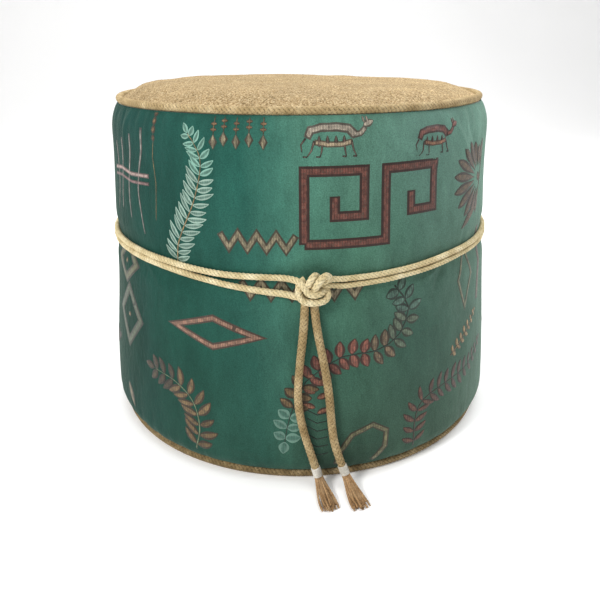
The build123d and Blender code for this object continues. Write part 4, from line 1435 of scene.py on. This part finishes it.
# ---- padded base panels with quilting ---------------------------------------
QUILT_PITCH = 0.034
QUILT_DEPTH = 0.0011
QUILT_CELL = 0.0016


def quilted(node, name):
    """The padded canvas of one half of the base, with lines of quilting sunk into it."""
    source = nodes[node].data.copy()
    obj = bpy.data.objects.new(name, source)
    bpy.context.collection.objects.link(obj)
    remesh = obj.modifiers.new("remesh", "REMESH")
    remesh.mode = "VOXEL"
    remesh.voxel_size = QUILT_CELL
    shape = obj.evaluated_get(bpy.context.evaluated_depsgraph_get())
    mesh = bpy.data.meshes.new_from_object(shape)
    bpy.data.objects.remove(obj)
    count = len(mesh.vertices)
    points = np.empty(count * 3)
    mesh.vertices.foreach_get("co", points)
    points = points.reshape(-1, 3)
    x, y = points[:, 0], points[:, 1]
    stitched = np.minimum(*(np.abs(np.sin(run / QUILT_PITCH * math.pi)) for run in (x + y, x - y)))
    inward = QUILT_DEPTH * (1 - np.clip(stitched / 0.35, 0, 1) ** 0.5)
    low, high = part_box(node)
    middle = (low[2] + high[2]) / 2
    below = points[:, 2] < middle - 0.001
    points[:, 2] = np.where(below, points[:, 2] + inward, points[:, 2] - 0.4 * inward)
    points[:, 2] = np.maximum(points[:, 2], low[2])
    mesh.vertices.foreach_set("co", points.ravel())
    mesh.update()
    mesh.shade_smooth()
    mesh.name = name
    made = bpy.data.objects.new(name, mesh)
    bpy.context.collection.objects.link(made)
    mesh.materials.clear()
    mesh.materials.append(MATERIALS["base_canvas"])
    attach(made, "pouf")
    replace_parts(made, node)


for half in ("front", "rear"):
    quilted(f"base_panel_{half}", f"base_quilt_{half}")

# ---- materials of the CAD nodes that stay -----------------------------------
NODE_MATERIALS = {
    "zip_tape_front": "zip_tape", "zip_tape_rear": "zip_tape", "zip_teeth_front": "zip_teeth",
    "zip_teeth_rear": "zip_teeth", "zip_top_stops": "zip_metal", "zip_bottom_stop": "zip_metal",
    "zip_slider": "zip_metal", "zip_pull": "zip_metal", "liner_side": "liner", "liner_top": "liner",
    "liner_base": "liner", "wadding_wrap": "wadding", "base_foam_pad": "foam", "foam_core": "foam",
    "top_foam_pad": "foam",
}
for node, material in NODE_MATERIALS.items():
    for place in nodes[node].material_slots:
        place.material = MATERIALS[material]


# ---- stage and light --------------------------------------------------------
SWEEP_START = 2.0            # how far behind the pouf the floor starts to rise
SWEEP = 1.2                  # and the radius of its rise


def make_stage():
    """White floor that sweeps up into a white backdrop behind the pouf."""
    s = Shader("floor_paper", 0.9, specular=0.1)
    s.colour(s.ramp(s.noise(3.0), (0.3, 0.93), (0.7, 0.95)))
    s.shader.inputs["Emission Color"].default_value = (1, 1, 1, 1)
    s.shader.inputs["Emission Strength"].default_value = 0.10
    profile = [(-3.0, 0.0), (SWEEP_START, 0.0)]
    for turn in np.radians(np.linspace(0, 90, 10)[1:]):
        profile.append((SWEEP_START + SWEEP * math.sin(turn), SWEEP - SWEEP * math.cos(turn)))
    profile.append((SWEEP_START + SWEEP, 4.0))
    points = [(x, y, z) for y, z in profile for x in (-6.0, 6.0)]
    mesh = bpy.data.meshes.new("floor")
    mesh.from_pydata(points, [], grid_faces(len(profile), 2).tolist())
    mesh.shade_smooth()
    mesh.materials.append(s.material)
    floor = bpy.data.objects.new("floor", mesh)
    bpy.context.collection.objects.link(floor)


def area_light(name, place, size, power, colour=(1, 1, 1)):
    """A soft square light that faces the pouf's middle."""
    data = bpy.data.lights.new(name, "AREA")
    data.size = size
    data.energy = power
    data.color = colour
    light = bpy.data.objects.new(name, data)
    bpy.context.collection.objects.link(light)
    place = Vector(place)
    light.matrix_world = Matrix.Translation(place) @ (
        (Vector((0, 0, 0.2)) - place).to_track_quat("-Z", "Y").to_matrix().to_4x4())


def make_light():
    world = bpy.data.worlds.new("studio")
    world.use_nodes = True
    world.node_tree.nodes["Background"].inputs["Color"].default_value = (1, 1, 1, 1)
    world.node_tree.nodes["Background"].inputs["Strength"].default_value = 0.39
    bpy.context.scene.world = world
    area_light("key", (-1.5, -1.5, 1.7), 0.6, 43.0, (1.0, 0.985, 0.96))
    area_light("overhead", (0.2, 0.3, 2.6), 2.4, 62.0)
    area_light("rim", (1.6, 0.6, 1.3), 0.8, 16.0)


make_stage()
make_light()
bpy.context.scene.view_settings.view_transform = "Standard"
